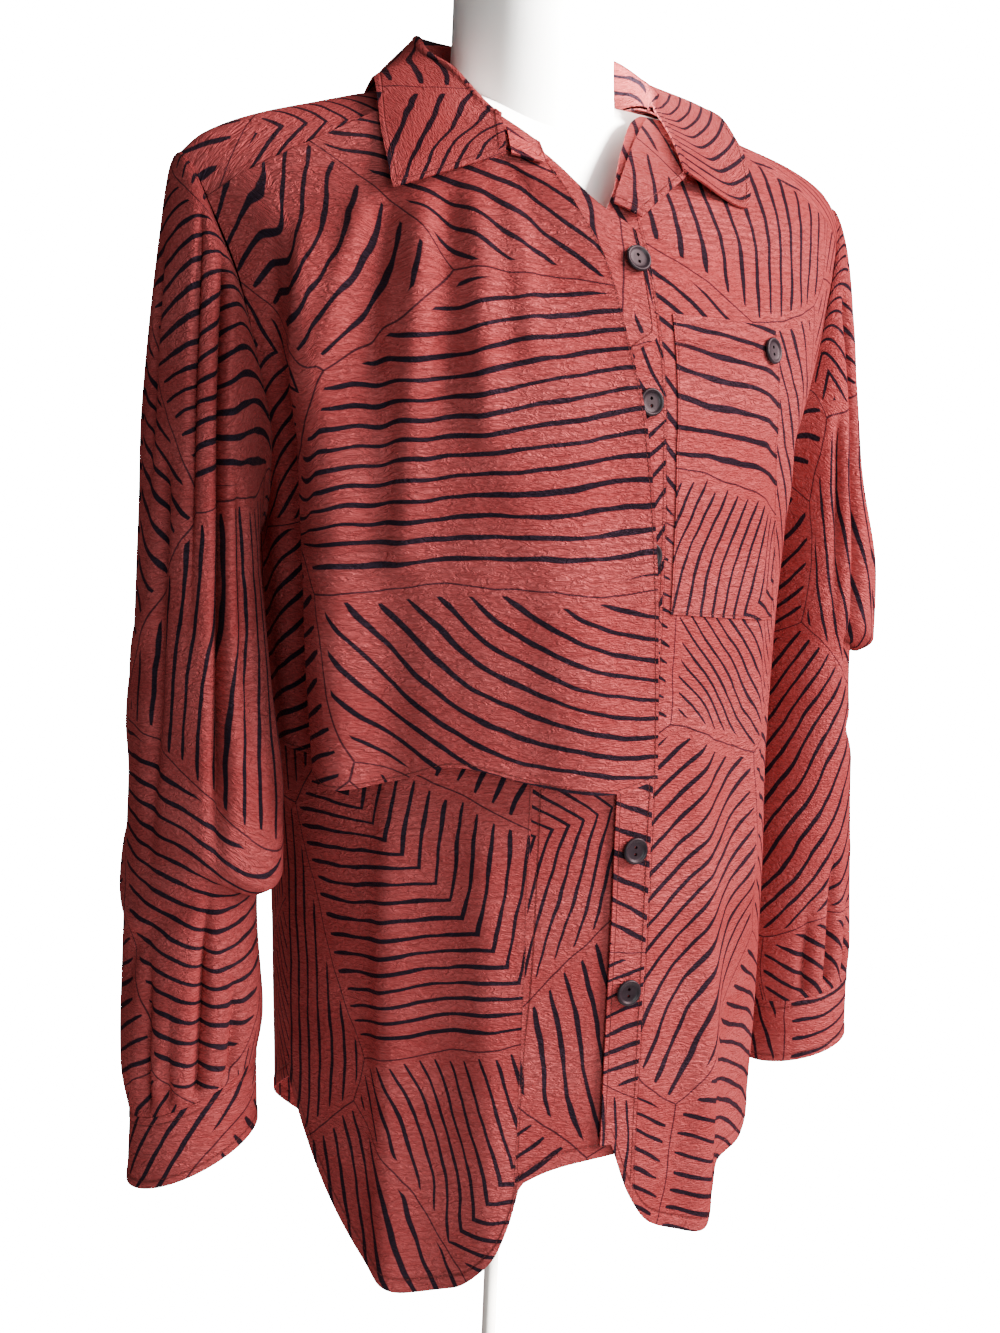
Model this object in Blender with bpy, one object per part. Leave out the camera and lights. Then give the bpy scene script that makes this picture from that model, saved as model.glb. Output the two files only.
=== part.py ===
"""A loose blouse, fastened at its top button only, on a limbless dress form.

Metres, +Z up. The origin is the centre of the base's underside. The front faces -Y and
the wearer's right side is at -X. Each piece that a maker would cut is a thin closed wall
of its own, read from a few tables of sizes: the body's sections, the shoulder line, the
armhole, the hems, the collar's stations, the sleeve's rings and the main folds.

Girth is an angle: 0 at the centre front, -90 and +90 degrees at the right and left side
seams, 180 at the centre back. Level is the height up to the chest line. Above the chest it
is the way over the shoulder, counted as ARCH_RADIUS times the angle, 90 degrees at the ridge.
"""

import math
from bisect import bisect_right

import bpy
import bmesh
from mathutils import Vector

MM = 0.001
CLOTH = 1.6 * MM
SEAM_INSET = 0.2 * MM
LAYER = CLOTH + 0.6 * MM

# Body sections below the chest line
CHEST = 1.200
ARCH_RADIUS = 0.200
RIDGE_LEVEL = CHEST + ARCH_RADIUS * math.pi / 2
SHOULDER_SPREAD = 0.062
FRONT_ARCH = (1.75, 0.60)
BACK_ARCH = (5.0, 0.50)
SECTIONS = (
    # height, half_width, front, back, shift to the wearer's left
    (0.600, 0.162, 0.150, 0.098, 0.009),
    (0.750, 0.166, 0.156, 0.102, 0.009),
    (0.900, 0.170, 0.156, 0.109, 0.007),
    (1.000, 0.174, 0.154, 0.111, 0.003),
    (1.100, 0.180, 0.154, 0.110, 0.000),
    (1.160, 0.185, 0.152, 0.110, 0.000),
    (1.200, 0.190, 0.148, 0.110, 0.000),
)
SHOULDER_LINE = (
    # distance from the centre, height of the ridge
    (0.000, 1.418),
    (0.080, 1.411),
    (0.120, 1.404),
    (0.156, 1.395),
    (0.193, 1.385),
    (0.224, 1.372),
    (0.240, 1.358),
    (0.260, 1.335),
)
UNDERARM = 1.135
ARMHOLE = (
    # level, girth angle of the armhole's edge in degrees
    (UNDERARM, 90.0),
    (1.150, 84.5),
    (1.200, 78.5),
    (1.262, 74.5),
    (1.339, 71.5),
    (RIDGE_LEVEL, 71.5),
)
SIDE_HEM = 0.775
RIGHT_HEM = (
    # girth angle in degrees from the centre toward the side, height
    (-8.0, 0.758),
    (12.0, 0.753),
    (25.0, 0.742),
    (27.5, 0.716),
    (31.0, 0.691),
    (39.0, 0.669),
    (50.0, 0.663),
    (62.0, 0.680),
    (76.0, 0.722),
    (90.0, SIDE_HEM),
)
LEFT_HEM = (
    # girth angle in degrees from the centre toward the side, height
    (-5.0, 0.764),
    (0.0, 0.728),
    (6.0, 0.705),
    (13.0, 0.696),
    (21.0, 0.690),
    (28.0, 0.702),
    (36.0, 0.718),
    (55.0, 0.722),
    (74.0, 0.740),
    (90.0, SIDE_HEM),
)
BACK_HEM = (
    # girth angle in degrees from the centre back, height
    (0.0, 0.676),
    (30.0, 0.684),
    (50.0, 0.716),
    (70.0, 0.752),
    (90.0, SIDE_HEM),
)

# Neckline and yoke
BUTTON_REACH = 0.0135
RIGHT_NECKLINE = (
    # distance from the centre, height of the right front's neck edge
    (-0.070, 1.394),
    (-0.040, 1.366),
    (-0.016, 1.338),
    (0.000, 1.328),
    (0.010, 1.318),
)
LEFT_NECKLINE = (
    # distance from the centre, height of the left front's neck edge
    (-0.014, 1.334),
    (-0.005, 1.344),
    (0.017, 1.375),
    (0.042, 1.398),
    (0.070, 1.408),
)
NECK_SINE = 0.30
YOKE_FRONT_AT_NECK = math.radians(72.0)
YOKE_FRONT_AT_TIP = math.radians(57.0)
YOKE_BACK = math.radians(48.0)
NECK_HOLE = (
    # way round from the right corner (0) to the left corner (1), sine of girth, lean over the ridge in degrees
    (0.00, -0.312, -18.0),
    (0.10, -0.298, -7.0),
    (0.20, -0.276, 8.0),
    (0.32, -0.230, 20.0),
    (0.50, 0.000, 28.0),
    (0.68, 0.230, 20.0),
    (0.80, 0.276, 8.0),
    (0.90, 0.298, -7.0),
    (1.00, 0.312, -18.0),
)

ACROSS_BACK = 26

# The fronts
BAND_WIDTH = 0.025
RIGHT_BAND_SEAM = -0.065
RIGHT_EDGE = (
    # level, distance from the centre, layer height over the body
    (0.650, 0.010, -3.4 * MM),
    (1.070, 0.008, -3.4 * MM),
    (1.130, -0.014, -3.4 * MM),
    (1.185, -0.022, 0.0 * MM),
    (1.235, -0.010, 3.6 * MM),
    (1.262, 0.006, 3.6 * MM),
    (1.400, 0.006, 3.6 * MM),
)
LAYER_FADES = (math.radians(18.0), math.radians(38.0))
FOLDS = (
    # side, girth angle in degrees, width in degrees, height, level where it starts, where it is full
    (-1, 54.0, 7.0, 7.0 * MM, 1.020, 0.860),
    (-1, 30.0, 11.0, 4.0 * MM, 0.950, 0.700),
    (1, 20.0, 7.0, 7.0 * MM, 1.050, 0.760),
    (1, 38.0, 8.0, -6.0 * MM, 1.000, 0.740),
    (1, 66.0, 10.0, 5.0 * MM, 1.050, 0.800),
    (-1, 118.0, 12.0, 9.0 * MM, 1.200, 0.800),
    (-1, 150.0, 12.0, 9.0 * MM, 1.260, 0.800),
    (1, 178.0, 12.0, 8.0 * MM, 1.280, 0.800),
    (1, 146.0, 12.0, 9.0 * MM, 1.240, 0.820),
    (1, 116.0, 12.0, 9.0 * MM, 1.180, 0.780),
)

# The overlay
OVERLAY_HEM = (
    # girth angle in degrees, height
    (0.0, 1.002),
    (10.0, 0.996),
    (22.0, 1.001),
    (38.0, 1.012),
    (50.0, 1.001),
    (60.0, 0.997),
    (72.0, 1.006),
    (90.0, 1.010),
)
OVERLAY_LOW = 1.0
OVERLAY_EDGE = (
    # height, distance from the centre
    (1.000, 0.004),
    (1.200, -0.006),
    (1.260, -0.016),
    (1.310, -0.027),
    (1.350, -0.044),
)
OVERLAY_LIFT = 4.0 * MM
OVERLAY_HANG = 8.0 * MM
OVERLAY_FOLDS = (
    # girth angle in degrees, width in degrees, height, level where it starts, where it is full
    (58.0, 6.5, 22.0 * MM, 1.390, 1.180),
    (34.0, 9.0, 5.0 * MM, 1.360, 1.260),
    (12.0, 8.0, 4.0 * MM, 1.180, 1.020),
)

# Collar stations, from the right gorge round the back to the left gorge
COLLAR = (
    # way round, roll line x, y, z, leaf edge x, y, z, stand height
    (0.00, -0.068, -0.073, 1.3880, -0.075, -0.094, 1.3660, 0.001),
    (0.15, -0.074, -0.058, 1.4000, -0.144, -0.090, 1.3420, 0.003),
    (0.24, -0.077, -0.032, 1.4170, -0.138, -0.060, 1.3730, 0.010),
    (0.32, -0.077, 0.000, 1.4290, -0.119, -0.004, 1.4125, 0.014),
    (0.42, -0.064, 0.046, 1.4460, -0.088, 0.070, 1.4000, 0.038),
    (0.50, 0.000, 0.073, 1.4460, 0.000, 0.097, 1.3980, 0.045),
    (0.58, 0.067, 0.042, 1.4460, 0.094, 0.066, 1.4020, 0.037),
    (0.68, 0.075, 0.002, 1.4290, 0.128, -0.002, 1.4140, 0.014),
    (0.78, 0.071, -0.018, 1.4200, 0.124, -0.048, 1.3890, 0.008),
    (0.87, 0.066, -0.028, 1.4140, 0.102, -0.091, 1.3490, 0.004),
    (1.00, 0.061, -0.037, 1.4070, 0.048, -0.098, 1.3650, 0.001),
)
ROLL_RADIUS = 2.2 * MM
LEAF_BOW = 5.0 * MM

# Revers corners: gorge at the roll, gorge at the edge, lower edge, end of the roll
REVERS = {
    # name: four corners of distance from the centre, height, lift over the body
    "right_revers": ((-0.062, 1.377, 9.0 * MM), (-0.068, 1.358, 13.0 * MM),
                     (-0.050, 1.354, 13.0 * MM), (-0.044, 1.360, 9.0 * MM)),
    "left_revers": ((0.054, 1.398, 2.2 * MM), (0.042, 1.354, 12.0 * MM),
                    (0.008, 1.330, 8.0 * MM), (-0.005, 1.341, 2.2 * MM)),
}

# Sleeves: outer things are the same on both sides, the sagging fold is each side's own
SLEEVE_RINGS = (
    # height, right centre outward, left centre outward, centre y, half thickness across, half width front to back
    (0.797, 0.2355, 0.2355, -0.028, 0.039, 0.031),
    (0.825, 0.2360, 0.2300, -0.026, 0.043, 0.040),
    (0.880, 0.2350, 0.2270, -0.020, 0.041, 0.048),
    (0.960, 0.2310, 0.2250, -0.012, 0.039, 0.054),
    (1.100, 0.2290, 0.2250, -0.006, 0.034, 0.056),
    (1.200, 0.2280, 0.2240, -0.002, 0.030, 0.052),
    (1.300, 0.2240, 0.2240, 0.000, 0.028, 0.044),
    (1.370, 0.2220, 0.2220, 0.002, 0.027, 0.036),
)
SLEEVE_LEAVES_ARMHOLE = 0.20
SLEEVE_CLEAR = 1.6 * MM
PLEATS = (
    # angle from the outer side toward the front in degrees, width in degrees, depth, start and end along the sleeve
    (20.0, 9.0, 4.5 * MM, 0.08, 0.70),
    (47.0, 8.0, 7.0 * MM, 0.03, 0.62),
    (73.0, 9.0, 11.0 * MM, 0.05, 0.68),
    (-22.0, 9.0, 6.0 * MM, 0.03, 0.66),
    (-52.0, 8.0, 8.0 * MM, 0.03, 0.60),
    (-80.0, 10.0, 6.0 * MM, 0.08, 0.66),
    (30.0, 8.0, 6.0 * MM, 0.99, 0.78),
    (78.0, 8.0, 8.0 * MM, 0.99, 0.72),
    (-40.0, 9.0, 7.0 * MM, 0.99, 0.74),
)
SAG_SIDES = {
    # side: height of the sag's lowest line, angle in degrees, spread in degrees
    -1: (0.938, 122.0, 44.0),
    1: (1.062, 28.0, 50.0),
}
SAG = (
    # distance above the sag's line, bulge, drop
    (-0.090, 0.0, 0.0),
    (-0.028, -4.0 * MM, 0.0),
    (0.000, -3.0 * MM, 8.0 * MM),
    (0.012, 4.0 * MM, 19.0 * MM),
    (0.028, 12.0 * MM, 24.0 * MM),
    (0.060, 12.0 * MM, 14.0 * MM),
    (0.110, 6.0 * MM, 4.0 * MM),
    (0.180, 0.0, 0.0),
)
CUFF_TOP = 0.7975
CUFF_HEIGHT = 0.046
CUFF_CENTRE = (0.2355, -0.028)
CUFF_TILT = {-1: 0.45, 1: 0.20}
CUFF_HALF_SIZES = (0.0385, 0.0305)
CUFF_FLARE = 1.04

# Pocket corners: distance from the centre and height
POCKET = ((0.022, 1.278), (0.112, 1.272), (0.127, 1.086), (0.018, 1.100))
POCKET_BUTTON = (0.103, 1.258)

BUTTON_RADIUS = 8.5 * MM
BUTTON_THICKNESS = 3.0 * MM
BUTTON_STANDOFF = 0.3 * MM
TOP_BUTTON = 1.307
SECOND_BUTTON = 1.226
BUTTON_SPACING = 0.0905
BAND_BUTTONS = 6

# Dress form
FORM_BOTTOM = 0.800
FORM_GAP = -0.2 * MM
FORM_SHOULDER = 0.200
FORM_SECTIONS = (
    # height, half_width, front, back
    (0.800, 0.148, 0.088, 0.096),
    (0.880, 0.158, 0.094, 0.104),
    (0.960, 0.140, 0.088, 0.092),
    (1.040, 0.118, 0.082, 0.080),
    (1.120, 0.134, 0.104, 0.084),
    (1.180, 0.148, 0.118, 0.088),
    (1.200, 0.150, 0.118, 0.090),
)
FORM_SHOULDER_DROP = 0.022
FORM_NECK_DROP = 2.5 * MM
NECK_CENTRE_Y = 0.012
NECK_PROFILE = (
    # height, radius
    (1.330, 0.070),
    (1.372, 0.063),
    (1.392, 0.0565),
    (1.412, 0.0540),
    (1.440, 0.0525),
    (1.500, 0.0520),
    (1.512, 0.0505),
    (1.518, 0.0460),
)
POLE_RADIUS = 5.0 * MM
BASE_RADIUS = 0.180
BASE_RIM = 6.0 * MM
BASE_HEIGHT = 14.0 * MM


def smooth(value):
    """An eased step from 0 to 1."""
    value = min(1.0, max(0.0, value))
    return value * value * (3.0 - 2.0 * value)


def mix(start, end, share):
    return start + (end - start) * share


def read(table, key, column):
    """A smooth value from a table with its keys in its first column, rising."""
    keys = [row[0] for row in table]
    values = [row[column] for row in table]
    if key <= keys[0]:
        return values[0]
    if key >= keys[-1]:
        return values[-1]
    steps = [keys[i + 1] - keys[i] for i in range(len(keys) - 1)]
    slopes = [(values[i + 1] - values[i]) / steps[i] for i in range(len(steps))]

    def tangent(i):
        if i == 0 or i == len(keys) - 1:
            return slopes[0] if i == 0 else slopes[-1]
        before, after = slopes[i - 1], slopes[i]
        if before * after <= 0.0:
            return 0.0
        return 2.0 * before * after / (before + after)

    i = bisect_right(keys, key) - 1
    t = (key - keys[i]) / steps[i]
    h00 = (1 + 2 * t) * (1 - t) ** 2
    h10 = t * (1 - t) ** 2
    h01 = t * t * (3 - 2 * t)
    h11 = t * t * (t - 1)
    return (h00 * values[i] + h10 * steps[i] * tangent(i)
            + h01 * values[i + 1] + h11 * steps[i] * tangent(i + 1))


def spaced(count, marks=(), pull=2.0, width=0.04):
    """Shares from 0 to 1 in count steps, closer together near each mark."""
    samples = 400
    total = [0.0]
    for i in range(samples):
        at = (i + 0.5) / samples
        near = sum(math.exp(-((at - mark) / width) ** 2) for mark in marks)
        total.append(total[-1] + 1.0 + pull * min(near, 1.5))
    shares = []
    for step in range(count + 1):
        goal = total[-1] * step / count
        i = min(samples - 1, bisect_right(total, goal) - 1)
        shares.append((i + (goal - total[i]) / (total[i + 1] - total[i])) / samples)
    shares[0], shares[-1] = 0.0, 1.0
    return shares


# The body's surface

def arch(climb, shape):
    power, root = shape
    return max(0.0, 1.0 - math.sin(climb) ** power) ** root


def body_base(girth, level):
    """The smooth body, with no folds. Past the ridge the two halves meet."""
    sine, cosine = math.sin(girth), math.cos(girth)
    if level <= CHEST:
        half_width = read(SECTIONS, level, 1)
        depth = read(SECTIONS, level, 2) if cosine >= 0 else read(SECTIONS, level, 3)
        shift = read(SECTIONS, level, 4)
        return Vector((shift + half_width * sine, -depth * cosine, level))
    climb = (level - CHEST) / ARCH_RADIUS
    share = math.sin(climb)
    widest = SECTIONS[-1][1]
    top = read(SHOULDER_LINE, abs(sine) * (widest + SHOULDER_SPREAD), 1)
    shape, depth = (FRONT_ARCH, SECTIONS[-1][2]) if cosine >= 0 else (BACK_ARCH, SECTIONS[-1][3])
    return Vector(((widest + SHOULDER_SPREAD * share) * sine,
                   -depth * cosine * arch(climb, shape),
                   CHEST + (top - CHEST) * share))


def body_out(girth, level):
    """The unit vector that points out of the body."""
    step = 0.004
    level = min(level, RIDGE_LEVEL - 2 * step)
    across = body_base(girth + step, level) - body_base(girth - step, level)
    up = body_base(girth, level + step) - body_base(girth, level - step)
    normal = across.cross(up)
    if normal.length < 1e-12:
        return Vector((math.copysign(1.0, girth), 0, 0))
    return normal.normalized()


def fold_height(side, girth, level):
    """How far the folds of one side stand out of the smooth body."""
    total = 0.0
    angle = math.degrees(abs(girth))
    for fold_side, at, width, height, starts, full in FOLDS:
        if fold_side != side:
            continue
        growth = smooth((starts - level) / (starts - full))
        total += height * growth * math.exp(-((angle - at) / width) ** 2)
    return total


def half_width(level):
    if level <= CHEST:
        return read(SECTIONS, level, 1)
    return SECTIONS[-1][1] + SHOULDER_SPREAD * math.sin((level - CHEST) / ARCH_RADIUS)


def angle_at(x, level):
    """The girth angle on the front at a distance from the centre."""
    shift = read(SECTIONS, level, 4)
    return math.asin(max(-1.0, min(1.0, (x - shift) / half_width(level))))


def level_at(girth, height):
    """The level of a height on the front."""
    if height <= CHEST:
        return height
    widest = SECTIONS[-1][1] + SHOULDER_SPREAD
    top = read(SHOULDER_LINE, abs(math.sin(girth)) * widest, 1)
    share = min(1.0, (height - CHEST) / (top - CHEST))
    return CHEST + ARCH_RADIUS * math.asin(share)


def on_front(x, height):
    """The girth and level of a place on the front."""
    level = height
    for _ in range(4):
        girth = angle_at(x, level)
        level = level_at(girth, height)
    return girth, level


def near_centre(girth):
    return 1.0 - smooth((abs(girth) - LAYER_FADES[0]) / (LAYER_FADES[1] - LAYER_FADES[0]))


def right_layer(girth, level):
    """The right front lies over the left band at the top and under it lower down."""
    return near_centre(girth) * read(RIGHT_EDGE, level, 2)


def body_surface(side, girth, level, lift=0.0):
    rise = lift + fold_height(side, girth, level)
    if side < 0:
        rise += right_layer(girth, level)
    return body_base(girth, level) + body_out(girth, level) * rise


def armhole_angle(level):
    if level <= UNDERARM:
        return math.pi / 2
    return math.radians(read(ARMHOLE, level, 1))


def yoke_front_level(girth):
    share = smooth((abs(math.sin(girth)) - NECK_SINE) / (0.94 - NECK_SINE))
    return CHEST + ARCH_RADIUS * mix(YOKE_FRONT_AT_NECK, YOKE_FRONT_AT_TIP, share)


def front_top_level(side, girth):
    """The top edge of a front: the neckline near the centre, the yoke seam beyond it."""
    sine = math.sin(girth)
    seam = yoke_front_level(girth)
    if abs(sine) >= NECK_SINE:
        return seam
    x = sine * (SECTIONS[-1][1] + 0.8 * SHOULDER_SPREAD)
    neckline = RIGHT_NECKLINE if side < 0 else LEFT_NECKLINE
    return min(seam, level_at(girth, read(neckline, x, 1)))


def hem_height(side, girth):
    return read(RIGHT_HEM if side < 0 else LEFT_HEM, math.degrees(side * girth), 1)


# Walls of cloth

def cloth(name, surface, around, along, material, ring=False, flip=False, inset=SEAM_INSET, facing=None):
    """A closed wall of cloth. surface(s, t) is its inner side, with s and t from 0 to 1.

    facing(s, t) is the way out, where the surface's own slopes don't give it well.
    """
    sizes = []
    for fixed in (0.0, 0.5, 1.0):
        sizes.append(sum((surface((i + 1) / 8, fixed) - surface(i / 8, fixed)).length for i in range(8)))
    width = max(0.004, min(sizes))
    length = max(0.004, min(
        sum((surface(fixed, (i + 1) / 8) - surface(fixed, i / 8)).length for i in range(8))
        for fixed in (0.02, 0.5, 0.98)))
    edge_s = 0.0 if ring else inset / width
    edge_t = inset / length
    step = 0.002

    def inner(s, t):
        return surface(edge_s + s * (1 - 2 * edge_s), edge_t + t * (1 - 2 * edge_t))

    def outer(s, t):
        if facing:
            return inner(s, t) + facing(s, t) * CLOTH
        s_low, s_high = (s - step, s + step) if ring else (max(0.0, s - step), min(1.0, s + step))
        t_low, t_high = max(0.0, t - step), min(1.0, t + step)
        across = inner(s_high, t) - inner(s_low, t)
        up = inner(s, t_high) - inner(s, t_low)
        normal = across.cross(up).normalized()
        return inner(s, t) + normal * (-CLOTH if flip else CLOTH)

    columns = around[:-1] if ring else around
    mesh = bmesh.new()
    skins = []
    for side in (inner, outer):
        skins.append([[mesh.verts.new(side(s, t)) for s in columns] for t in along])
    count = len(columns)
    spans = range(count) if ring else range(count - 1)
    for j in range(len(along) - 1):
        for i in spans:
            k = (i + 1) % count
            for skin in skins:
                mesh.faces.new((skin[j][i], skin[j][k], skin[j + 1][k], skin[j + 1][i]))
    for j in (0, len(along) - 1):
        for i in spans:
            k = (i + 1) % count
            mesh.faces.new((skins[0][j][i], skins[0][j][k], skins[1][j][k], skins[1][j][i]))
    if not ring:
        for i in (0, count - 1):
            for j in range(len(along) - 1):
                mesh.faces.new((skins[0][j][i], skins[0][j + 1][i], skins[1][j + 1][i], skins[1][j][i]))
    return finish(name, mesh, material)


def finish(name, mesh, material, sharp=60.0):
    """Turn a bmesh into a named object with outward faces."""
    bmesh.ops.recalc_face_normals(mesh, faces=mesh.faces)
    data = bpy.data.meshes.new(name)
    mesh.to_mesh(data)
    mesh.free()
    data.materials.append(material)
    data.shade_smooth()
    data.set_sharp_from_angle(angle=math.radians(sharp))
    item = bpy.data.objects.new(name, data)
    bpy.context.collection.objects.link(item)
    return item


def turned(name, profile, segments, material, place=Vector((0, 0, 0)), direction=Vector((0, 0, 1))):
    """A closed turned solid. profile is radius and height, from the lower to the upper centre."""
    mesh = bmesh.new()
    turn = direction.to_track_quat("Z", "Y")

    def spot(radius, height, angle):
        return place + turn @ Vector((radius * math.cos(angle), radius * math.sin(angle), height))

    rings = []
    for radius, height in profile:
        if radius == 0:
            rings.append([mesh.verts.new(spot(0, height, 0))])
        else:
            angles = [2 * math.pi * i / segments for i in range(segments)]
            rings.append([mesh.verts.new(spot(radius, height, angle)) for angle in angles])
    for low, high in zip(rings, rings[1:]):
        for i in range(segments):
            k = (i + 1) % segments
            corners = [low[i % len(low)], low[k % len(low)], high[k % len(high)], high[i % len(high)]]
            mesh.faces.new(list(dict.fromkeys(corners)))
    return finish(name, mesh, material, sharp=35.0)


# Panels of the body

def front_grid(side, edge_angle, lift=0.0, side_angle=None):
    """The surface of a front panel between its edge and its side, hem to yoke."""
    seam_top = yoke_front_level(math.radians(70.0))

    def surface(s, t):
        level = mix(SIDE_HEM, seam_top, t)
        far = side * armhole_angle(level)
        for _ in range(2):
            if side_angle:
                far = side_angle(level)
            girth = mix(edge_angle(level), far, s)
            level = mix(hem_height(side, girth), front_top_level(side, girth), t)
        return body_surface(side, girth, level, lift)

    return surface


def make_fronts(material):
    def right_seam(level):
        return angle_at(RIGHT_BAND_SEAM, level)

    def right_edge(level):
        return angle_at(read(RIGHT_EDGE, level, 1), level)

    def left_edge(level):
        return angle_at(-BUTTON_REACH, level)

    def left_seam(level):
        return angle_at(BAND_WIDTH - BUTTON_REACH, level)

    rows = spaced(22, (0.8,), 1.0, 0.10)
    cloth("right_front", front_grid(-1, right_seam), spaced(12), rows, material, flip=True)
    cloth("right_band", front_grid(-1, right_edge, side_angle=right_seam), spaced(4), rows, material, flip=True)
    cloth("left_front", front_grid(1, left_seam), spaced(12), rows, material)
    cloth("left_band", front_grid(1, left_edge, side_angle=left_seam), spaced(2), rows, material)


def make_back(material):
    top = CHEST + ARCH_RADIUS * (math.pi / 2 - YOKE_BACK)

    def surface(s, t):
        level = mix(SIDE_HEM, top, t)
        span = armhole_angle(level)
        turn = mix(-span, span, s)
        girth = math.pi + turn
        away = math.pi - abs(turn)
        level = mix(read(BACK_HEM, math.degrees(abs(turn)), 1), top, t)
        side = -1 if turn > 0 else 1
        signed = -away if side < 0 else away
        base = body_base(signed, level)
        return base + body_out(signed, level) * fold_height(side, signed, level)

    cloth("back", surface, spaced(ACROSS_BACK, (0.37, 0.63), 1.0, 0.05), spaced(18, (0.88,), 1.5, 0.12), material)


def make_yoke(material):
    """One piece from the front seams over both shoulders to the back seam, cut round the neck."""
    neck_from = 0.30

    def place(s, t):
        """The girth and level of a place. lean is 0 on the ridge, below 0 on the front."""
        across = 2.0 * s - 1.0
        tip = math.sin(armhole_angle(RIDGE_LEVEL))
        end_sine = math.sin(across * armhole_angle(CHEST + ARCH_RADIUS * (math.pi / 2 - YOKE_BACK)))
        if abs(across) > neck_from:
            outward = (abs(across) - neck_from) / (1.0 - neck_from)
            sine = math.copysign(mix(-NECK_HOLE[0][1], 1.0, outward), across)
            seam = yoke_front_level(math.asin(sine * tip))
            start_sine = math.copysign(mix(-NECK_HOLE[0][1], math.sin(armhole_angle(seam)), outward), across)
            start_lean = (yoke_front_level(math.asin(start_sine)) - CHEST) / ARCH_RADIUS - math.pi / 2
        else:
            round_neck = (across + neck_from) / (2 * neck_from)
            start_sine = read(NECK_HOLE, round_neck, 1)
            start_lean = math.radians(read(NECK_HOLE, round_neck, 2))
        lean = mix(start_lean, YOKE_BACK, t)
        girth = math.asin(mix(start_sine, end_sine, t))
        if lean > 0:
            girth = math.pi - girth
        return girth, CHEST + ARCH_RADIUS * (math.pi / 2 - abs(lean))

    def surface(s, t):
        return body_base(*place(s, t))

    def facing(s, t):
        return body_out(*place(s, t))

    cloth("yoke", surface, spaced(ACROSS_BACK, (0.37, 0.63), 1.0, 0.05), spaced(9), material, facing=facing)


def overlay_rise(girth, level):
    top = 1.36
    fall = smooth((top - level) / (top - OVERLAY_LOW))
    away_from_side = smooth((math.pi / 2 - abs(girth)) / math.radians(16.0))
    rise = OVERLAY_HANG * fall * away_from_side
    angle = math.degrees(abs(girth))
    for at, width, height, starts, full in OVERLAY_FOLDS:
        growth = smooth((starts - level) / (starts - full))
        rise += height * growth * math.exp(-((angle - at) / width) ** 2)
    return rise


def make_overlay(material):
    """The loose second layer of the right front, free at its front edge and hem."""

    def surface(s, t):
        level = mix(OVERLAY_LOW, yoke_front_level(math.radians(70.0)), t)
        far = -armhole_angle(level)
        for _ in range(2):
            edge = angle_at(read(OVERLAY_EDGE, level, 1), level)
            girth = mix(edge, far, s)
            hem = read(OVERLAY_HEM, math.degrees(abs(girth)), 1)
            level = mix(hem, front_top_level(-1, girth), t)
        layer = near_centre(girth) * RIGHT_EDGE[-1][2]
        return (body_base(girth, level)
                + body_out(girth, level) * (OVERLAY_LIFT + layer + overlay_rise(girth, level)))

    cloth("overlay", surface, spaced(18, (0.70,), 2.0, 0.1), spaced(15, (0.75,), 1.0, 0.15), material, flip=True)


# Collar and revers

def collar_station(way, first):
    return Vector((read(COLLAR, way, first), read(COLLAR, way, first + 1), read(COLLAR, way, first + 2)))


def make_collar(material):
    """Stand, roll and leaf in one wall. The inner side of the fold faces the other half."""

    def surface(s, t):
        roll = collar_station(s, 1)
        edge = collar_station(s, 4)
        fall = (edge - roll).normalized()
        stand = read(COLLAR, s, 7)
        down = Vector((0, 0, -1))
        outward = (fall - down * fall.dot(down)).normalized()
        foot = roll + down * stand + outward * 0.10 * stand
        if t < 0.3:
            return foot.lerp(roll, t / 0.3)
        if t < 0.5:
            turn = math.pi * (t - 0.3) / 0.2
            lift = Vector((0, 0, 1)) * math.sin(turn) * ROLL_RADIUS
            return roll + lift + outward * ROLL_RADIUS * (1 - math.cos(turn))
        share = (t - 0.5) / 0.5
        start = roll + outward * 2 * ROLL_RADIUS
        bow = outward * math.sin(math.pi * share) * LEAF_BOW
        return start.lerp(edge, share) + bow

    along = [0.0, 0.3, 0.35, 0.4, 0.45, 0.5, 0.66, 0.83, 1.0]
    between = [(low[0] + high[0]) / 2 for low, high in zip(COLLAR, COLLAR[1:])]
    cloth("collar", surface, sorted([row[0] for row in COLLAR] + between), along, material)


def make_revers(name, corners, material):
    places = [Vector((*on_front(x, height), lift)) for x, height, lift in corners]
    gorge_roll, gorge_edge, low_edge, low_roll = places
    side = -1 if name.startswith("right") else 1

    def surface(s, t):
        girth, level, lift = gorge_roll.lerp(gorge_edge, s).lerp(low_roll.lerp(low_edge, s), t)
        return body_base(girth, level) + body_out(girth, level) * lift

    cloth(name, surface, spaced(3), spaced(3), material, flip=side > 0, inset=0.3 * MM)


# Sleeves and cuffs

def armhole_point(side, angle):
    """The armhole's edge. angle is 0 at the shoulder tip, 90 degrees in front, 180 under the arm."""
    share = abs(angle) / math.pi
    level = mix(RIDGE_LEVEL, UNDERARM, share)
    girth = armhole_angle(level)
    if angle < 0:
        girth = math.pi - girth
    return body_base(side * girth, level)


def cuff_lift(side, angle):
    """The cuffs hang tilted, higher toward the wearer's left."""
    return CUFF_TILT[side] * side * CUFF_HALF_SIZES[0] * math.cos(angle)


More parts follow.
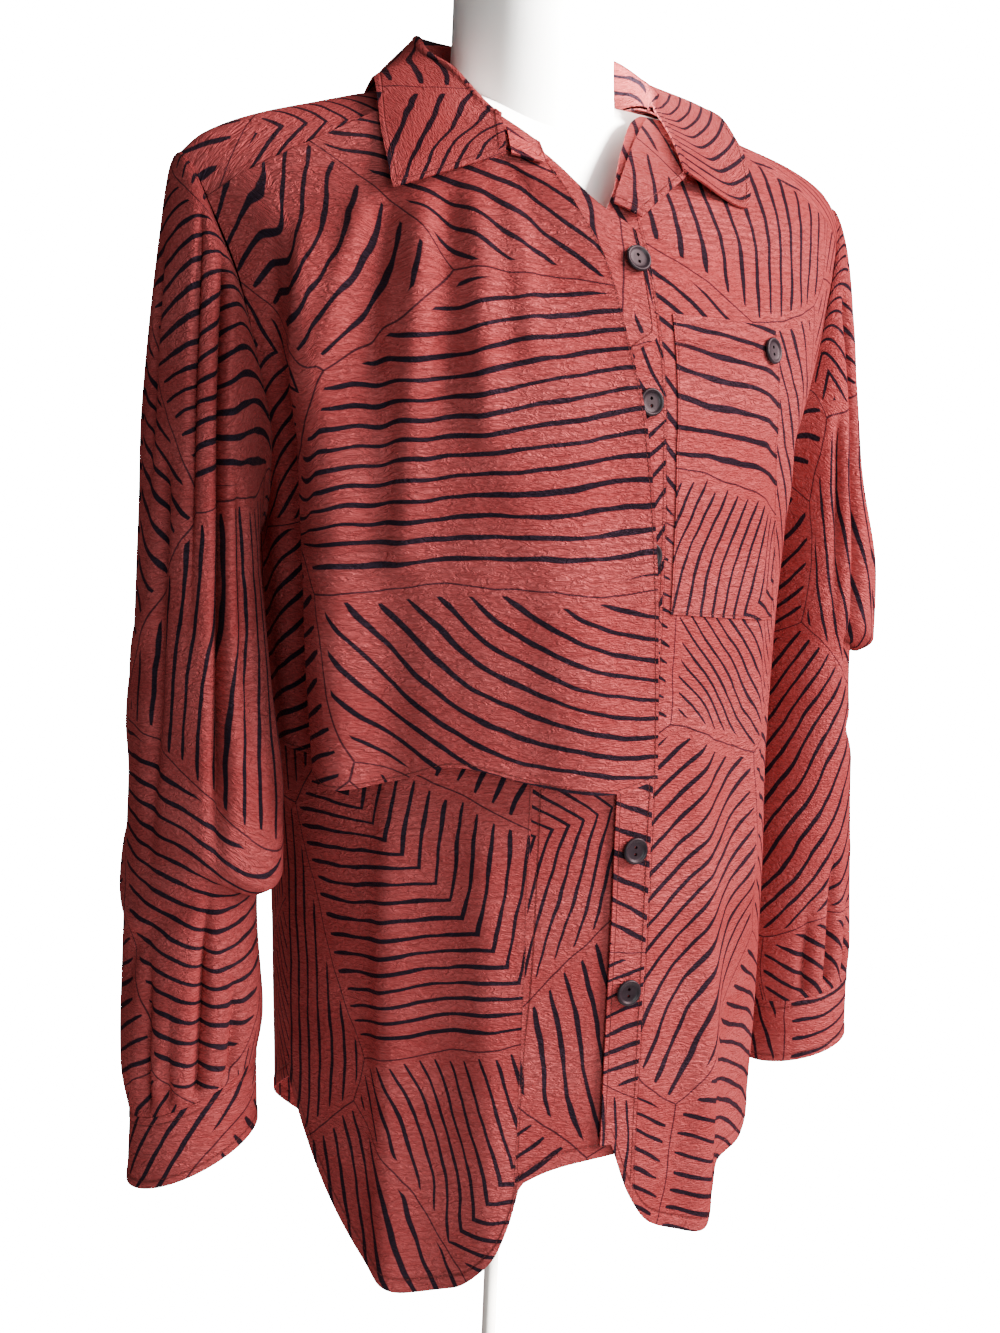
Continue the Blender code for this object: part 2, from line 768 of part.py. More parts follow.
def sleeve_surface(side):
    sag_line, sag_angle, sag_spread = SAG_SIDES[side]

    def surface(s, t):
        angle = math.pi * (1.0 - 2.0 * s)
        start = armhole_point(side, angle)
        end = CUFF_TOP + 0.5 * MM + cuff_lift(side, angle)
        height = mix(start.z, end, t)
        low = mix(start.z, CUFF_TOP, t)
        centre_x = side * read(SLEEVE_RINGS, low, 1 if side < 0 else 2)
        centre_y = read(SLEEVE_RINGS, low, 3)
        across = read(SLEEVE_RINGS, low, 4)
        deep = read(SLEEVE_RINGS, low, 5)
        degrees = math.degrees(angle)
        dent = 0.0
        for at, width, depth, begins, ends in PLEATS:
            if begins < ends:
                run = smooth((t - begins) / 0.12) * smooth((ends - t) / 0.25)
            else:
                run = smooth((begins + 0.04 - t) / 0.06) * smooth((t - ends) / 0.15)
            dent += depth * run * math.exp(-((degrees - at) / width) ** 2)
        sector = math.exp(-((degrees - sag_angle) / sag_spread) ** 2)
        bulge = read(SAG, height - sag_line, 1) * sector
        drop = read(SAG, height - sag_line, 2) * sector
        out = Vector((side * math.cos(angle), -math.sin(angle), 0))
        ring = Vector((centre_x, centre_y, height - drop))
        ring += Vector((out.x * across, out.y * deep, 0)) + out * (bulge - dent)
        share = 1.0 - (1.0 - min(1.0, t / SLEEVE_LEAVES_ARMHOLE)) ** 2
        layers = 3 * CLOTH
        if side < 0:
            layers += OVERLAY_LIFT * (1.0 if angle > 0 else smooth((-degrees - 140.0) / 40.0))
        clear = SLEEVE_CLEAR + layers * smooth((abs(degrees) - 20.0) / 65.0)
        return (start + Vector((side * clear, 0, 0))).lerp(ring, share)

    return surface


def make_sleeves(material):
    for side, name in ((-1, "right_sleeve"), (1, "left_sleeve")):
        marks = [(180.0 - pleat[0]) / 360.0 for pleat in PLEATS]
        sag_share = (1.25 - SAG_SIDES[side][0]) / (1.25 - CUFF_TOP)
        columns = spaced(28, marks, 1.6, 0.02)
        rows = spaced(18, (0.04, sag_share, 0.97), 1.5, 0.06)
        cloth(name, sleeve_surface(side), columns, rows, material, ring=True, flip=side > 0)


def cuff_surface(side):
    def surface(s, t):
        angle = math.pi * (1.0 - 2.0 * s)
        size = mix(1.0, CUFF_FLARE, t)
        return Vector((side * (CUFF_CENTRE[0] + CUFF_HALF_SIZES[0] * size * math.cos(angle)),
                       CUFF_CENTRE[1] - CUFF_HALF_SIZES[1] * size * math.sin(angle),
                       CUFF_TOP - CUFF_HEIGHT * t + cuff_lift(side, angle)))

    return surface


def make_cuffs(material):
    for side, name in ((-1, "right_cuff"), (1, "left_cuff")):
        cloth(name, cuff_surface(side), spaced(22), spaced(2), material, ring=True, flip=side > 0)


# Pocket and buttons

def make_pocket(material):
    corners = [Vector(on_front(x, height)) for x, height in POCKET]
    top_inner, top_outer, low_outer, low_inner = corners

    def surface(s, t):
        spot = low_inner.lerp(low_outer, s).lerp(top_inner.lerp(top_outer, s), t)
        return body_surface(1, spot.x, spot.y, LAYER)

    cloth("pocket", surface, spaced(7), spaced(8), material, inset=0.0)


def make_button(name, point, direction, material):
    """A dished disc with a raised rim."""
    r = BUTTON_RADIUS
    h = BUTTON_THICKNESS
    profile = ((0, 0), (0.72 * r, 0), (r, 0.45 * h), (0.96 * r, 0.9 * h), (0.86 * r, h),
               (0.62 * r, 0.72 * h), (0, 0.66 * h))
    turned(name, profile, 14, material, point, direction)


def make_buttons(material):
    girth, level = on_front(0.0, TOP_BUTTON)
    lift = read(RIGHT_EDGE, level, 2) + CLOTH + BUTTON_STANDOFF
    out = body_out(girth, level)
    make_button("button_1", body_base(girth, level) + out * lift, out, material)
    for number in range(BAND_BUTTONS - 1):
        girth, level = on_front(0.0, SECOND_BUTTON - number * BUTTON_SPACING)
        out = body_out(girth, level)
        spot = body_surface(1, girth, level, CLOTH + BUTTON_STANDOFF)
        make_button(f"button_{number + 2}", spot, out, material)
    girth, level = on_front(*POCKET_BUTTON)
    out = body_out(girth, level)
    spot = body_surface(1, girth, level, LAYER + CLOTH + BUTTON_STANDOFF)
    make_button("pocket_button", spot, out, material)
    for side, name in ((-1, "right_cuff_button"), (1, "left_cuff_button")):
        angle = math.radians(-60.0)
        surface = cuff_surface(side)
        share = 0.5 - angle / (2 * math.pi)
        spot = surface(share, 0.5)
        across = surface(share + 0.01, 0.5) - surface(share - 0.01, 0.5)
        out = across.cross(Vector((0, 0, 1))).normalized()
        if out.dot(spot - Vector((side * CUFF_CENTRE[0], CUFF_CENTRE[1], spot.z))) < 0:
            out = -out
        make_button(name, spot + out * (CLOTH + BUTTON_STANDOFF), out, material)


# Dress form

def form_point(sine, lean_share):
    """The form's skin. lean_share runs from -1 at the front's bottom over 0 on the ridge to 1 at the back's."""
    way = abs(lean_share) * (RIDGE_LEVEL - FORM_BOTTOM)
    level = RIDGE_LEVEL - way
    cosine = math.sqrt(max(0.0, 1.0 - sine * sine))
    column = 2 if lean_share <= 0 else 3
    toward = -1.0 if lean_share <= 0 else 1.0
    if level <= CHEST:
        return Vector((read(FORM_SECTIONS, level, 1) * sine,
                       toward * read(FORM_SECTIONS, level, column) * cosine, level))
    climb = (level - CHEST) / ARCH_RADIUS
    share = math.sin(climb)
    x = mix(FORM_SECTIONS[-1][1], FORM_SHOULDER, share) * sine
    drop = FORM_SHOULDER_DROP * abs(sine) ** 8
    drop += FORM_NECK_DROP * (1.0 - smooth((FORM_SHOULDER * abs(sine) - 0.085) / 0.030))
    top = read(SHOULDER_LINE, FORM_SHOULDER * abs(sine), 1) - FORM_GAP - drop
    shape = FRONT_ARCH if lean_share <= 0 else BACK_ARCH
    depth = FORM_SECTIONS[-1][column]
    return Vector((x, toward * depth * cosine * arch(climb, shape), CHEST + (top - CHEST) * share))


def make_form(skin, metal):
    columns = [math.sin(math.radians(mix(-90, 90, i / 12))) for i in range(13)]
    half = spaced(13, (0.0,), 1.5, 0.2)
    rows = [-share for share in reversed(half[1:])] + [0.0] + half[1:]
    mesh = bmesh.new()
    grid = [[mesh.verts.new(form_point(sine, row)) for sine in columns] for row in rows]
    for low, high in zip(grid, grid[1:]):
        for i in range(len(columns) - 1):
            mesh.faces.new((low[i], low[i + 1], high[i + 1], high[i]))
    bottom = [grid[0], grid[-1]]
    for i in range(len(columns) - 1):
        mesh.faces.new((bottom[0][i], bottom[0][i + 1], bottom[1][i + 1], bottom[1][i]))
    bmesh.ops.remove_doubles(mesh, verts=mesh.verts, dist=0.00001)
    torso = finish("form_torso", mesh, skin)
    profile = [(0, NECK_PROFILE[0][0])] + [(radius, height) for height, radius in NECK_PROFILE]
    profile.append((0, NECK_PROFILE[-1][0]))
    neck = turned("neck_tool", profile, 24, skin, Vector((0, NECK_CENTRE_Y, 0)))
    neck.hide_render = True
    neck.display_type = "WIRE"
    join = torso.modifiers.new("neck", "BOOLEAN")
    join.operation = "UNION"
    join.object = neck
    pole_top = FORM_BOTTOM - 0.3 * MM
    pole_foot = BASE_HEIGHT + 0.3 * MM
    turned("form_pole", ((0, pole_foot), (POLE_RADIUS, pole_foot), (POLE_RADIUS, pole_top), (0, pole_top)),
           20, metal)
    turned("form_base", ((0, 0), (BASE_RADIUS, 0), (BASE_RADIUS, BASE_RIM), (BASE_RADIUS - BASE_RIM, 9 * MM),
                         (0.030, BASE_HEIGHT), (0, BASE_HEIGHT)), 36, metal)


def make_material(name, colour, roughness, metallic=0.0):
    material = bpy.data.materials.new(name)
    material.use_nodes = True
    shader = material.node_tree.nodes["Principled BSDF"]
    shader.inputs["Base Color"].default_value = (*colour, 1.0)
    shader.inputs["Roughness"].default_value = roughness
    shader.inputs["Metallic"].default_value = metallic
    return material


def main():
    for item in list(bpy.data.objects):
        bpy.data.objects.remove(item, do_unlink=True)
    rust = make_material("rust_cloth", (0.36, 0.11, 0.10), 0.55)
    dark = make_material("dark_button", (0.03, 0.02, 0.025), 0.30)
    white = make_material("form_white", (0.85, 0.83, 0.80), 0.50)
    metal = make_material("pale_paint", (0.78, 0.74, 0.68), 0.40)
    make_back(rust)
    make_yoke(rust)
    make_fronts(rust)
    make_overlay(rust)
    make_collar(rust)
    for name, corners in REVERS.items():
        make_revers(name, corners, rust)
    make_pocket(rust)
    make_sleeves(rust)
    make_cuffs(rust)
    make_buttons(dark)
    make_form(white, metal)


main()
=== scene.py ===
import math

import bmesh
import bpy
import numpy as np
from mathutils import Matrix, Vector


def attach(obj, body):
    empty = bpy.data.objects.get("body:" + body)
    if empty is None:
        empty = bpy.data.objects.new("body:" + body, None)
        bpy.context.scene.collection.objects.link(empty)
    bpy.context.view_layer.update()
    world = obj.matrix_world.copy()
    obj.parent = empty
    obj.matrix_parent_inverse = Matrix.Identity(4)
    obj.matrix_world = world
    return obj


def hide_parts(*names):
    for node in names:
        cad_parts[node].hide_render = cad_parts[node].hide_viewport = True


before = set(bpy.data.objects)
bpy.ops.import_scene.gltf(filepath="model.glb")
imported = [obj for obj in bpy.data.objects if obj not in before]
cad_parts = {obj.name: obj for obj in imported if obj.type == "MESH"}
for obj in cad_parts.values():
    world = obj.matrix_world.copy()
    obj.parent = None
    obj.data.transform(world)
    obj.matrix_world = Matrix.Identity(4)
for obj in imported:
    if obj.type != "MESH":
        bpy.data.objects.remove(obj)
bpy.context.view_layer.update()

# Looks of a loose printed blouse on a limbless dress form. Metres, +Z up, the front faces -Y and
# the wearer's right is at -X. Each cloth piece is a thin fine shell on the form of its solid, read
# from the same tables of sizes as the solids, with its soft folds, hems and stitching added.

MM = 0.001
CLOTH = 1.6 * MM
LAYER = CLOTH + 0.6 * MM

# Body sections below the chest line
CHEST = 1.200
ARCH_RADIUS = 0.200
RIDGE_LEVEL = CHEST + ARCH_RADIUS * math.pi / 2
SHOULDER_SPREAD = 0.062
FRONT_ARCH = (1.75, 0.60)
BACK_ARCH = (5.0, 0.50)
SECTIONS = (
    # height, half_width, front, back, shift to the wearer's left
    (0.600, 0.162, 0.150, 0.098, 0.009),
    (0.750, 0.166, 0.156, 0.102, 0.009),
    (0.900, 0.170, 0.156, 0.109, 0.007),
    (1.000, 0.174, 0.154, 0.111, 0.003),
    (1.100, 0.180, 0.154, 0.110, 0.000),
    (1.160, 0.185, 0.152, 0.110, 0.000),
    (1.200, 0.190, 0.148, 0.110, 0.000),
)
SHOULDER_LINE = (
    # distance from the centre, height of the ridge
    (0.000, 1.418),
    (0.080, 1.411),
    (0.120, 1.404),
    (0.156, 1.395),
    (0.193, 1.385),
    (0.224, 1.372),
    (0.240, 1.358),
    (0.260, 1.335),
)
UNDERARM = 1.135
ARMHOLE = (
    # level, girth angle of the armhole's edge in degrees
    (UNDERARM, 90.0),
    (1.150, 84.5),
    (1.200, 78.5),
    (1.262, 74.5),
    (1.339, 71.5),
    (RIDGE_LEVEL, 71.5),
)
SIDE_HEM = 0.775
RIGHT_HEM = (
    # girth angle in degrees from the centre toward the side, height
    (-8.0, 0.758),
    (12.0, 0.753),
    (25.0, 0.742),
    (27.5, 0.716),
    (31.0, 0.691),
    (39.0, 0.669),
    (50.0, 0.663),
    (62.0, 0.680),
    (76.0, 0.722),
    (90.0, SIDE_HEM),
)
LEFT_HEM = (
    # girth angle in degrees from the centre toward the side, height
    (-5.0, 0.764),
    (0.0, 0.728),
    (6.0, 0.705),
    (13.0, 0.696),
    (21.0, 0.690),
    (28.0, 0.702),
    (36.0, 0.718),
    (55.0, 0.722),
    (74.0, 0.740),
    (90.0, SIDE_HEM),
)
BACK_HEM = (
    # girth angle in degrees from the centre back, height
    (0.0, 0.676),
    (30.0, 0.684),
    (50.0, 0.716),
    (70.0, 0.752),
    (90.0, SIDE_HEM),
)

# Neckline and yoke
BUTTON_REACH = 0.0135
RIGHT_NECKLINE = (
    # distance from the centre, height of the right front's neck edge
    (-0.070, 1.394),
    (-0.040, 1.366),
    (-0.016, 1.338),
    (0.000, 1.328),
    (0.010, 1.318),
)
LEFT_NECKLINE = (
    # distance from the centre, height of the left front's neck edge
    (-0.014, 1.334),
    (-0.005, 1.344),
    (0.017, 1.375),
    (0.042, 1.398),
    (0.070, 1.408),
)
NECK_SINE = 0.30
TIP_SINE = 0.94
SPREAD_AT_NECK = 0.8
YOKE_NECK_SHARE = 0.30
YOKE_FRONT_AT_NECK = math.radians(72.0)
YOKE_FRONT_AT_TIP = math.radians(57.0)
YOKE_BACK = math.radians(48.0)
NECK_HOLE = (
    # way round from the right corner to the left, sine of girth, lean over the ridge in degrees
    (0.00, -0.312, -18.0),
    (0.10, -0.298, -7.0),
    (0.20, -0.276, 8.0),
    (0.32, -0.230, 20.0),
    (0.50, 0.000, 28.0),
    (0.68, 0.230, 20.0),
    (0.80, 0.276, 8.0),
    (0.90, 0.298, -7.0),
    (1.00, 0.312, -18.0),
)

# The fronts
BAND_WIDTH = 0.025
RIGHT_BAND_SEAM = -0.065
RIGHT_EDGE = (
    # level, distance from the centre, layer height over the body
    (0.650, 0.010, -3.4 * MM),
    (1.070, 0.008, -3.4 * MM),
    (1.130, -0.014, -3.4 * MM),
    (1.185, -0.022, 0.0 * MM),
    (1.235, -0.010, 3.6 * MM),
    (1.262, 0.006, 3.6 * MM),
    (1.400, 0.006, 3.6 * MM),
)
LAYER_FADES = (math.radians(18.0), math.radians(38.0))
FOLDS = (
    # side, girth angle in degrees, width in degrees, height, level where it starts, where it is full
    (-1, 54.0, 7.0, 7.0 * MM, 1.020, 0.860),
    (-1, 30.0, 11.0, 4.0 * MM, 0.950, 0.700),
    (1, 20.0, 7.0, 7.0 * MM, 1.050, 0.760),
    (1, 38.0, 8.0, -6.0 * MM, 1.000, 0.740),
    (1, 66.0, 10.0, 5.0 * MM, 1.050, 0.800),
    (-1, 118.0, 12.0, 9.0 * MM, 1.200, 0.800),
    (-1, 150.0, 12.0, 9.0 * MM, 1.260, 0.800),
    (1, 178.0, 12.0, 8.0 * MM, 1.280, 0.800),
    (1, 146.0, 12.0, 9.0 * MM, 1.240, 0.820),
    (1, 116.0, 12.0, 9.0 * MM, 1.180, 0.780),
)

# The overlay
OVERLAY_HEM = (
    # girth angle in degrees, height
    (0.0, 1.002),
    (10.0, 0.996),
    (22.0, 1.001),
    (38.0, 1.012),
    (50.0, 1.001),
    (60.0, 0.997),
    (72.0, 1.006),
    (90.0, 1.010),
)
OVERLAY_LOW = 1.0
OVERLAY_EDGE = (
    # height, distance from the centre
    (1.000, 0.004),
    (1.200, -0.006),
    (1.260, -0.016),
    (1.310, -0.027),
    (1.350, -0.044),
)
OVERLAY_LIFT = 4.0 * MM
OVERLAY_HANG = 8.0 * MM
OVERLAY_FOLDS = (
    # girth angle in degrees, width in degrees, height, level where it starts, where it is full
    (58.0, 6.5, 22.0 * MM, 1.390, 1.180),
    (34.0, 9.0, 5.0 * MM, 1.360, 1.260),
    (12.0, 8.0, 4.0 * MM, 1.180, 1.020),
)

# Collar stations, from the right gorge round the back to the left gorge
COLLAR = (
    # way round, roll line x, y, z, leaf edge x, y, z, stand height
    (0.00, -0.068, -0.073, 1.3880, -0.075, -0.094, 1.3660, 0.001),
    (0.15, -0.074, -0.058, 1.4000, -0.144, -0.090, 1.3420, 0.003),
    (0.24, -0.077, -0.032, 1.4170, -0.138, -0.060, 1.3730, 0.010),
    (0.32, -0.077, 0.000, 1.4290, -0.119, -0.004, 1.4125, 0.014),
    (0.42, -0.064, 0.046, 1.4460, -0.088, 0.070, 1.4000, 0.038),
    (0.50, 0.000, 0.073, 1.4460, 0.000, 0.097, 1.3980, 0.045),
    (0.58, 0.067, 0.042, 1.4460, 0.094, 0.066, 1.4020, 0.037),
    (0.68, 0.075, 0.002, 1.4290, 0.128, -0.002, 1.4140, 0.014),
    (0.78, 0.071, -0.018, 1.4200, 0.124, -0.048, 1.3890, 0.008),
    (0.87, 0.066, -0.028, 1.4140, 0.102, -0.091, 1.3490, 0.004),
    (1.00, 0.061, -0.037, 1.4070, 0.048, -0.098, 1.3650, 0.001),
)
ROLL_RADIUS = 2.2 * MM
LEAF_BOW = 5.0 * MM

# Revers: the corners are the gorge at the roll, the gorge at the edge, the lower edge, the roll's end
REVERS = {
    # name: four corners of distance from the centre, height, lift over the body
    "right_revers": ((-0.062, 1.377, 9.0 * MM), (-0.068, 1.358, 13.0 * MM),
                     (-0.050, 1.354, 13.0 * MM), (-0.044, 1.360, 9.0 * MM)),
    "left_revers": ((0.056, 1.399, 2.6 * MM), (0.050, 1.355, 10.0 * MM),
                    (0.008, 1.330, 8.0 * MM), (-0.005, 1.341, 2.2 * MM)),
}

# Sleeves: both sides share the rings, and each has its own sagging fold
SLEEVE_RINGS = (
    # height, right and left centre outward, centre y, half thickness across, half width to the front
    (0.797, 0.2355, 0.2355, -0.028, 0.039, 0.031),
    (0.825, 0.2360, 0.2300, -0.026, 0.043, 0.040),
    (0.880, 0.2350, 0.2270, -0.020, 0.041, 0.048),
    (0.960, 0.2310, 0.2250, -0.012, 0.039, 0.054),
    (1.100, 0.2290, 0.2250, -0.006, 0.034, 0.056),
    (1.200, 0.2280, 0.2240, -0.002, 0.030, 0.052),
    (1.300, 0.2240, 0.2240, 0.000, 0.028, 0.044),
    (1.370, 0.2220, 0.2220, 0.002, 0.027, 0.036),
)
SLEEVE_LEAVES_ARMHOLE = 0.20
SAG_SIDES = {
    # side: height of the sag's lowest line, angle in degrees, spread in degrees
    -1: (0.938, 122.0, 44.0),
    1: (1.062, 28.0, 50.0),
}
SAG = (
    # distance above the sag's line, bulge, drop
    (-0.090, 0.0, 0.0),
    (-0.028, -4.0 * MM, 0.0),
    (0.000, -3.0 * MM, 8.0 * MM),
    (0.012, 4.0 * MM, 19.0 * MM),
    (0.028, 12.0 * MM, 24.0 * MM),
    (0.060, 12.0 * MM, 14.0 * MM),
    (0.110, 6.0 * MM, 4.0 * MM),
    (0.180, 0.0, 0.0),
)
CUFF_TOP = 0.7975
CUFF_HEIGHT = 0.046
CUFF_CENTRE = (0.2355, -0.028)
CUFF_TILT = {-1: 0.45, 1: 0.20}
CUFF_HALF_SIZES = (0.0385, 0.0305)
CUFF_FLARE = 1.04

# Pocket corners: distance from the centre and height
POCKET = ((0.022, 1.278), (0.112, 1.272), (0.127, 1.086), (0.018, 1.100))
POCKET_BUTTON = (0.103, 1.258)

BUTTON_RADIUS = 8.5 * MM
BUTTON_THICKNESS = 3.0 * MM
BUTTON_STANDOFF = 0.3 * MM
BUTTON_PROFILE = (
    # share of the radius, share of the thickness
    (0, 0), (0.70, 0), (0.86, 0.10), (0.97, 0.32), (1, 0.52), (0.985, 0.74), (0.94, 0.92), (0.88, 1),
    (0.81, 0.97), (0.74, 0.84), (0.68, 0.70), (0.60, 0.64), (0.40, 0.62), (0, 0.62),
)
BUTTON_HOLE = 0.125
BUTTON_HOLE_PLACE = 0.26
CUFF_BUTTON_SHARE = 0.5 + 60.0 / 360.0
TOP_BUTTON = 1.307
SECOND_BUTTON = 1.226
BUTTON_SPACING = 0.0905
BAND_BUTTONS = 6

# Dress form
FORM_BOTTOM = 0.800
FORM_GAP = -0.2 * MM
FORM_SHOULDER = 0.200
FORM_SECTIONS = (
    # height, half_width, front, back
    (0.800, 0.148, 0.088, 0.096),
    (0.880, 0.158, 0.094, 0.104),
    (0.960, 0.140, 0.088, 0.092),
    (1.040, 0.118, 0.082, 0.080),
    (1.120, 0.134, 0.104, 0.084),
    (1.180, 0.148, 0.118, 0.088),
    (1.200, 0.150, 0.118, 0.090),
)
FORM_SHOULDER_DROP = 0.022
FORM_NECK_DROP = 2.5 * MM
NECK_CENTRE_Y = 0.012
NECK_DROP_AWAY = (0.085, 0.030)
FORM_GRID = (61, 90)
FORM_CLOSER = 1.3
JOINT_GAP = 0.3 * MM
NECK_PROFILE = (
    # height, radius
    (1.330, 0.070),
    (1.372, 0.063),
    (1.392, 0.0565),
    (1.412, 0.0540),
    (1.440, 0.0525),
    (1.500, 0.0520),
    (1.512, 0.0505),
    (1.518, 0.0460),
)
POLE_RADIUS = 5.0 * MM
BASE_RADIUS = 0.180
BASE_RIM = 6.0 * MM
BASE_HEIGHT = 14.0 * MM

# The sheets of the looks: their thickness, hems and stitching
SKIN = 0.4 * MM
SHEET = 0.8 * MM
POCKET_SHEET = 0.35 * MM
POCKET_CLEAR = 0.1 * MM
HEM_FOLD = 0.5 * MM
HEM_STITCH = 9.0 * MM
EDGE_STITCH = 5.0 * MM
BAND_STITCH = 3.0 * MM
OVERLAY_STITCH = 2.2 * MM
SEAM_STITCH = 1.6 * MM
POCKET_HEM = 18.0 * MM
THREAD = 0.32 * MM
STITCH_LENGTH = 2.1 * MM
STITCH_PITCH = 3.0 * MM
STITCH_RISE = 0.1 * MM
NO_STITCH = 9.0
GRIDS = {
    # piece: points across and points along its sheet
    "right_front": (96, 200), "right_band": (30, 200), "left_front": (96, 200), "left_band": (14, 200),
    "back": (150, 170), "yoke": (180, 50), "overlay": (110, 150), "collar": (260, 64),
    "revers": (40, 44), "pocket": (60, 90), "sleeve": (170, 190), "cuff": (110, 24),
}
PRINT_PLACES = {
    # piece: how far its print is moved across and up, as if it were cut from another place of the cloth
    "right_front": (0.31, 0.05), "right_band": (1.73, 0.02), "left_front": (0.83, 0.36),
    "left_band": (2.42, 0.44), "back": (3.1, 0.27), "yoke": (4.2, 0.0), "overlay": (5.05, 0.71),
    "collar": (6.1, 0.2), "right_revers": (6.3, 0.0), "left_revers": (8.3, 0.0), "pocket": (12.4, 0.55),
    "right_sleeve": (8.0, -0.15), "left_sleeve": (10.0, 0.15), "right_cuff": (10.0, 0.4),
    "left_cuff": (12.0, 0.4),
}
GIRTH_RADIUS = 0.178
SLEEVE_RADIUS = 0.062
SLEEVE_WAVE_RADIUS = 0.050
CUFF_RADIUS = 0.036

# Soft folds. Waves have a height and a seed
FRONT_WAVES = (0.8 * MM, 11)
BACK_WAVES = (1.0 * MM, 5)
OVERLAY_WAVES = (0.8 * MM, 21)
SLEEVE_WAVES = (1.1 * MM, 31)
WAVE_COUNT = 7
WAVE_PITCHES = (0.045, 0.13)
MEAN_WAVE_PITCH = 0.0875
CREASE_BOW = 0.012
SIDE_EASE = 0.12
BACK_SIDE_EASE = 0.25
TOP_EASE = 0.05
MID_SHOULDER = math.radians(70.0)
NECK_EASE = 0.04
SHELL_CLEAR = 1.0 * MM
SHELL_LAYERS = 1.7 * MM
SAG_FULLER = 1.35
LEAF_REST = (0.004, 0.008, -0.002)
LEAF_REST_AT = (0.89, 0.07)
LEAF_ROLL = (0.3, 0.5)
STAND_LEAN = 0.10
OVERLAY_REST = 1.5 * MM
OVERLAY_TOP = 1.36
OVERLAY_CALM_TOP = 1.365
OVERLAY_EASE = 0.02
OVERLAY_HANGS_AFTER = 0.035
OVERLAY_HANG_EASE = math.radians(16.0)
PLEAT_OPENS = 0.06
PLEAT_FADES = 0.25
CUFF_PLEAT_OVER = 0.04
CUFF_PLEAT_FADES = 0.15
CUFF_CALM = 0.02
EDGE_LIFT = 7.0 * MM
EDGE_LIFT_WIDTH = 0.022
EDGE_LIFT_STARTS = (1.25, 0.06)
EDGE_LIFT_ENDS = (1.372, 0.03)
# Each row of a drape has its width ahead and behind in degrees, its height, and its line of levels and
# angles from the front
OVERLAY_DRAPE = (
    (9.0, 1.7, 9.0 * MM, ((0.97, 65.0), (1.04, 65.5), (1.10, 66.0), (1.156, 66.5), (1.213, 64.5),
                          (1.253, 61.5), (1.297, 57.5), (1.34, 54.0))),
    (2.2, 4.0, -5.0 * MM, ((0.97, 71.0), (1.10, 72.0), (1.213, 71.0), (1.297, 64.0), (1.34, 60.0))),
    (6.0, 7.0, 5.0 * MM, ((0.98, 44.0), (1.10, 45.0), (1.20, 45.0), (1.30, 44.0))),
    (8.0, 4.5, 3.2 * MM, ((0.98, 17.0), (1.054, 19.0), (1.111, 20.0), (1.156, 24.5), (1.215, 30.5))),
    (5.0, 5.0, -2.2 * MM, ((1.06, 7.5), (1.11, 8.0), (1.198, 8.5), (1.245, 9.5), (1.285, 12.0))),
    (4.0, 2.8, 6.5 * MM, ((1.13, 47.0), (1.20, 44.5), (1.25, 41.0), (1.30, 36.5), (1.355, 31.0))),
    (2.6, 2.6, -5.0 * MM, ((1.22, 37.0), (1.27, 34.5), (1.31, 31.5), (1.355, 27.5))),
    (3.0, 2.4, 5.5 * MM, ((1.21, 31.0), (1.26, 29.0), (1.30, 26.5), (1.355, 24.0))),
    (2.3, 2.3, -5.0 * MM, ((1.24, 49.0), (1.28, 46.0), (1.32, 41.0), (1.36, 37.0))),
    (2.3, 2.3, 4.5 * MM, ((1.26, 54.0), (1.30, 50.0), (1.33, 45.0), (1.36, 41.0))),
    (2.3, 2.3, 4.0 * MM, ((1.25, 21.5), (1.29, 20.5), (1.32, 19.5), (1.35, 19.0))),
)
RIGHT_DRAPE = (
    (4.0, 3.0, 4.0 * MM, ((0.66, 54.0), (0.76, 55.0), (0.86, 55.0), (1.00, 53.0))),
    (7.0, 7.0, -2.5 * MM, ((0.67, 42.0), (0.80, 43.0), (1.00, 40.0))),
    (4.0, 4.0, 2.5 * MM, ((0.68, 31.0), (0.80, 33.0), (1.00, 34.0))),
)
LEFT_DRAPE = (
    (5.0, 4.0, 4.0 * MM, ((0.69, 22.0), (0.80, 19.5), (0.98, 15.7), (1.05, 14.0))),
    (6.0, 6.0, -2.5 * MM, ((0.72, 32.0), (0.90, 30.0), (1.05, 27.0))),
    (5.0, 4.0, 3.0 * MM, ((0.90, 42.0), (1.04, 37.0), (1.19, 30.0), (1.27, 27.0))),
    (4.0, 4.0, 2.0 * MM, ((1.16, 52.0), (1.24, 46.0), (1.33, 38.0))),
)
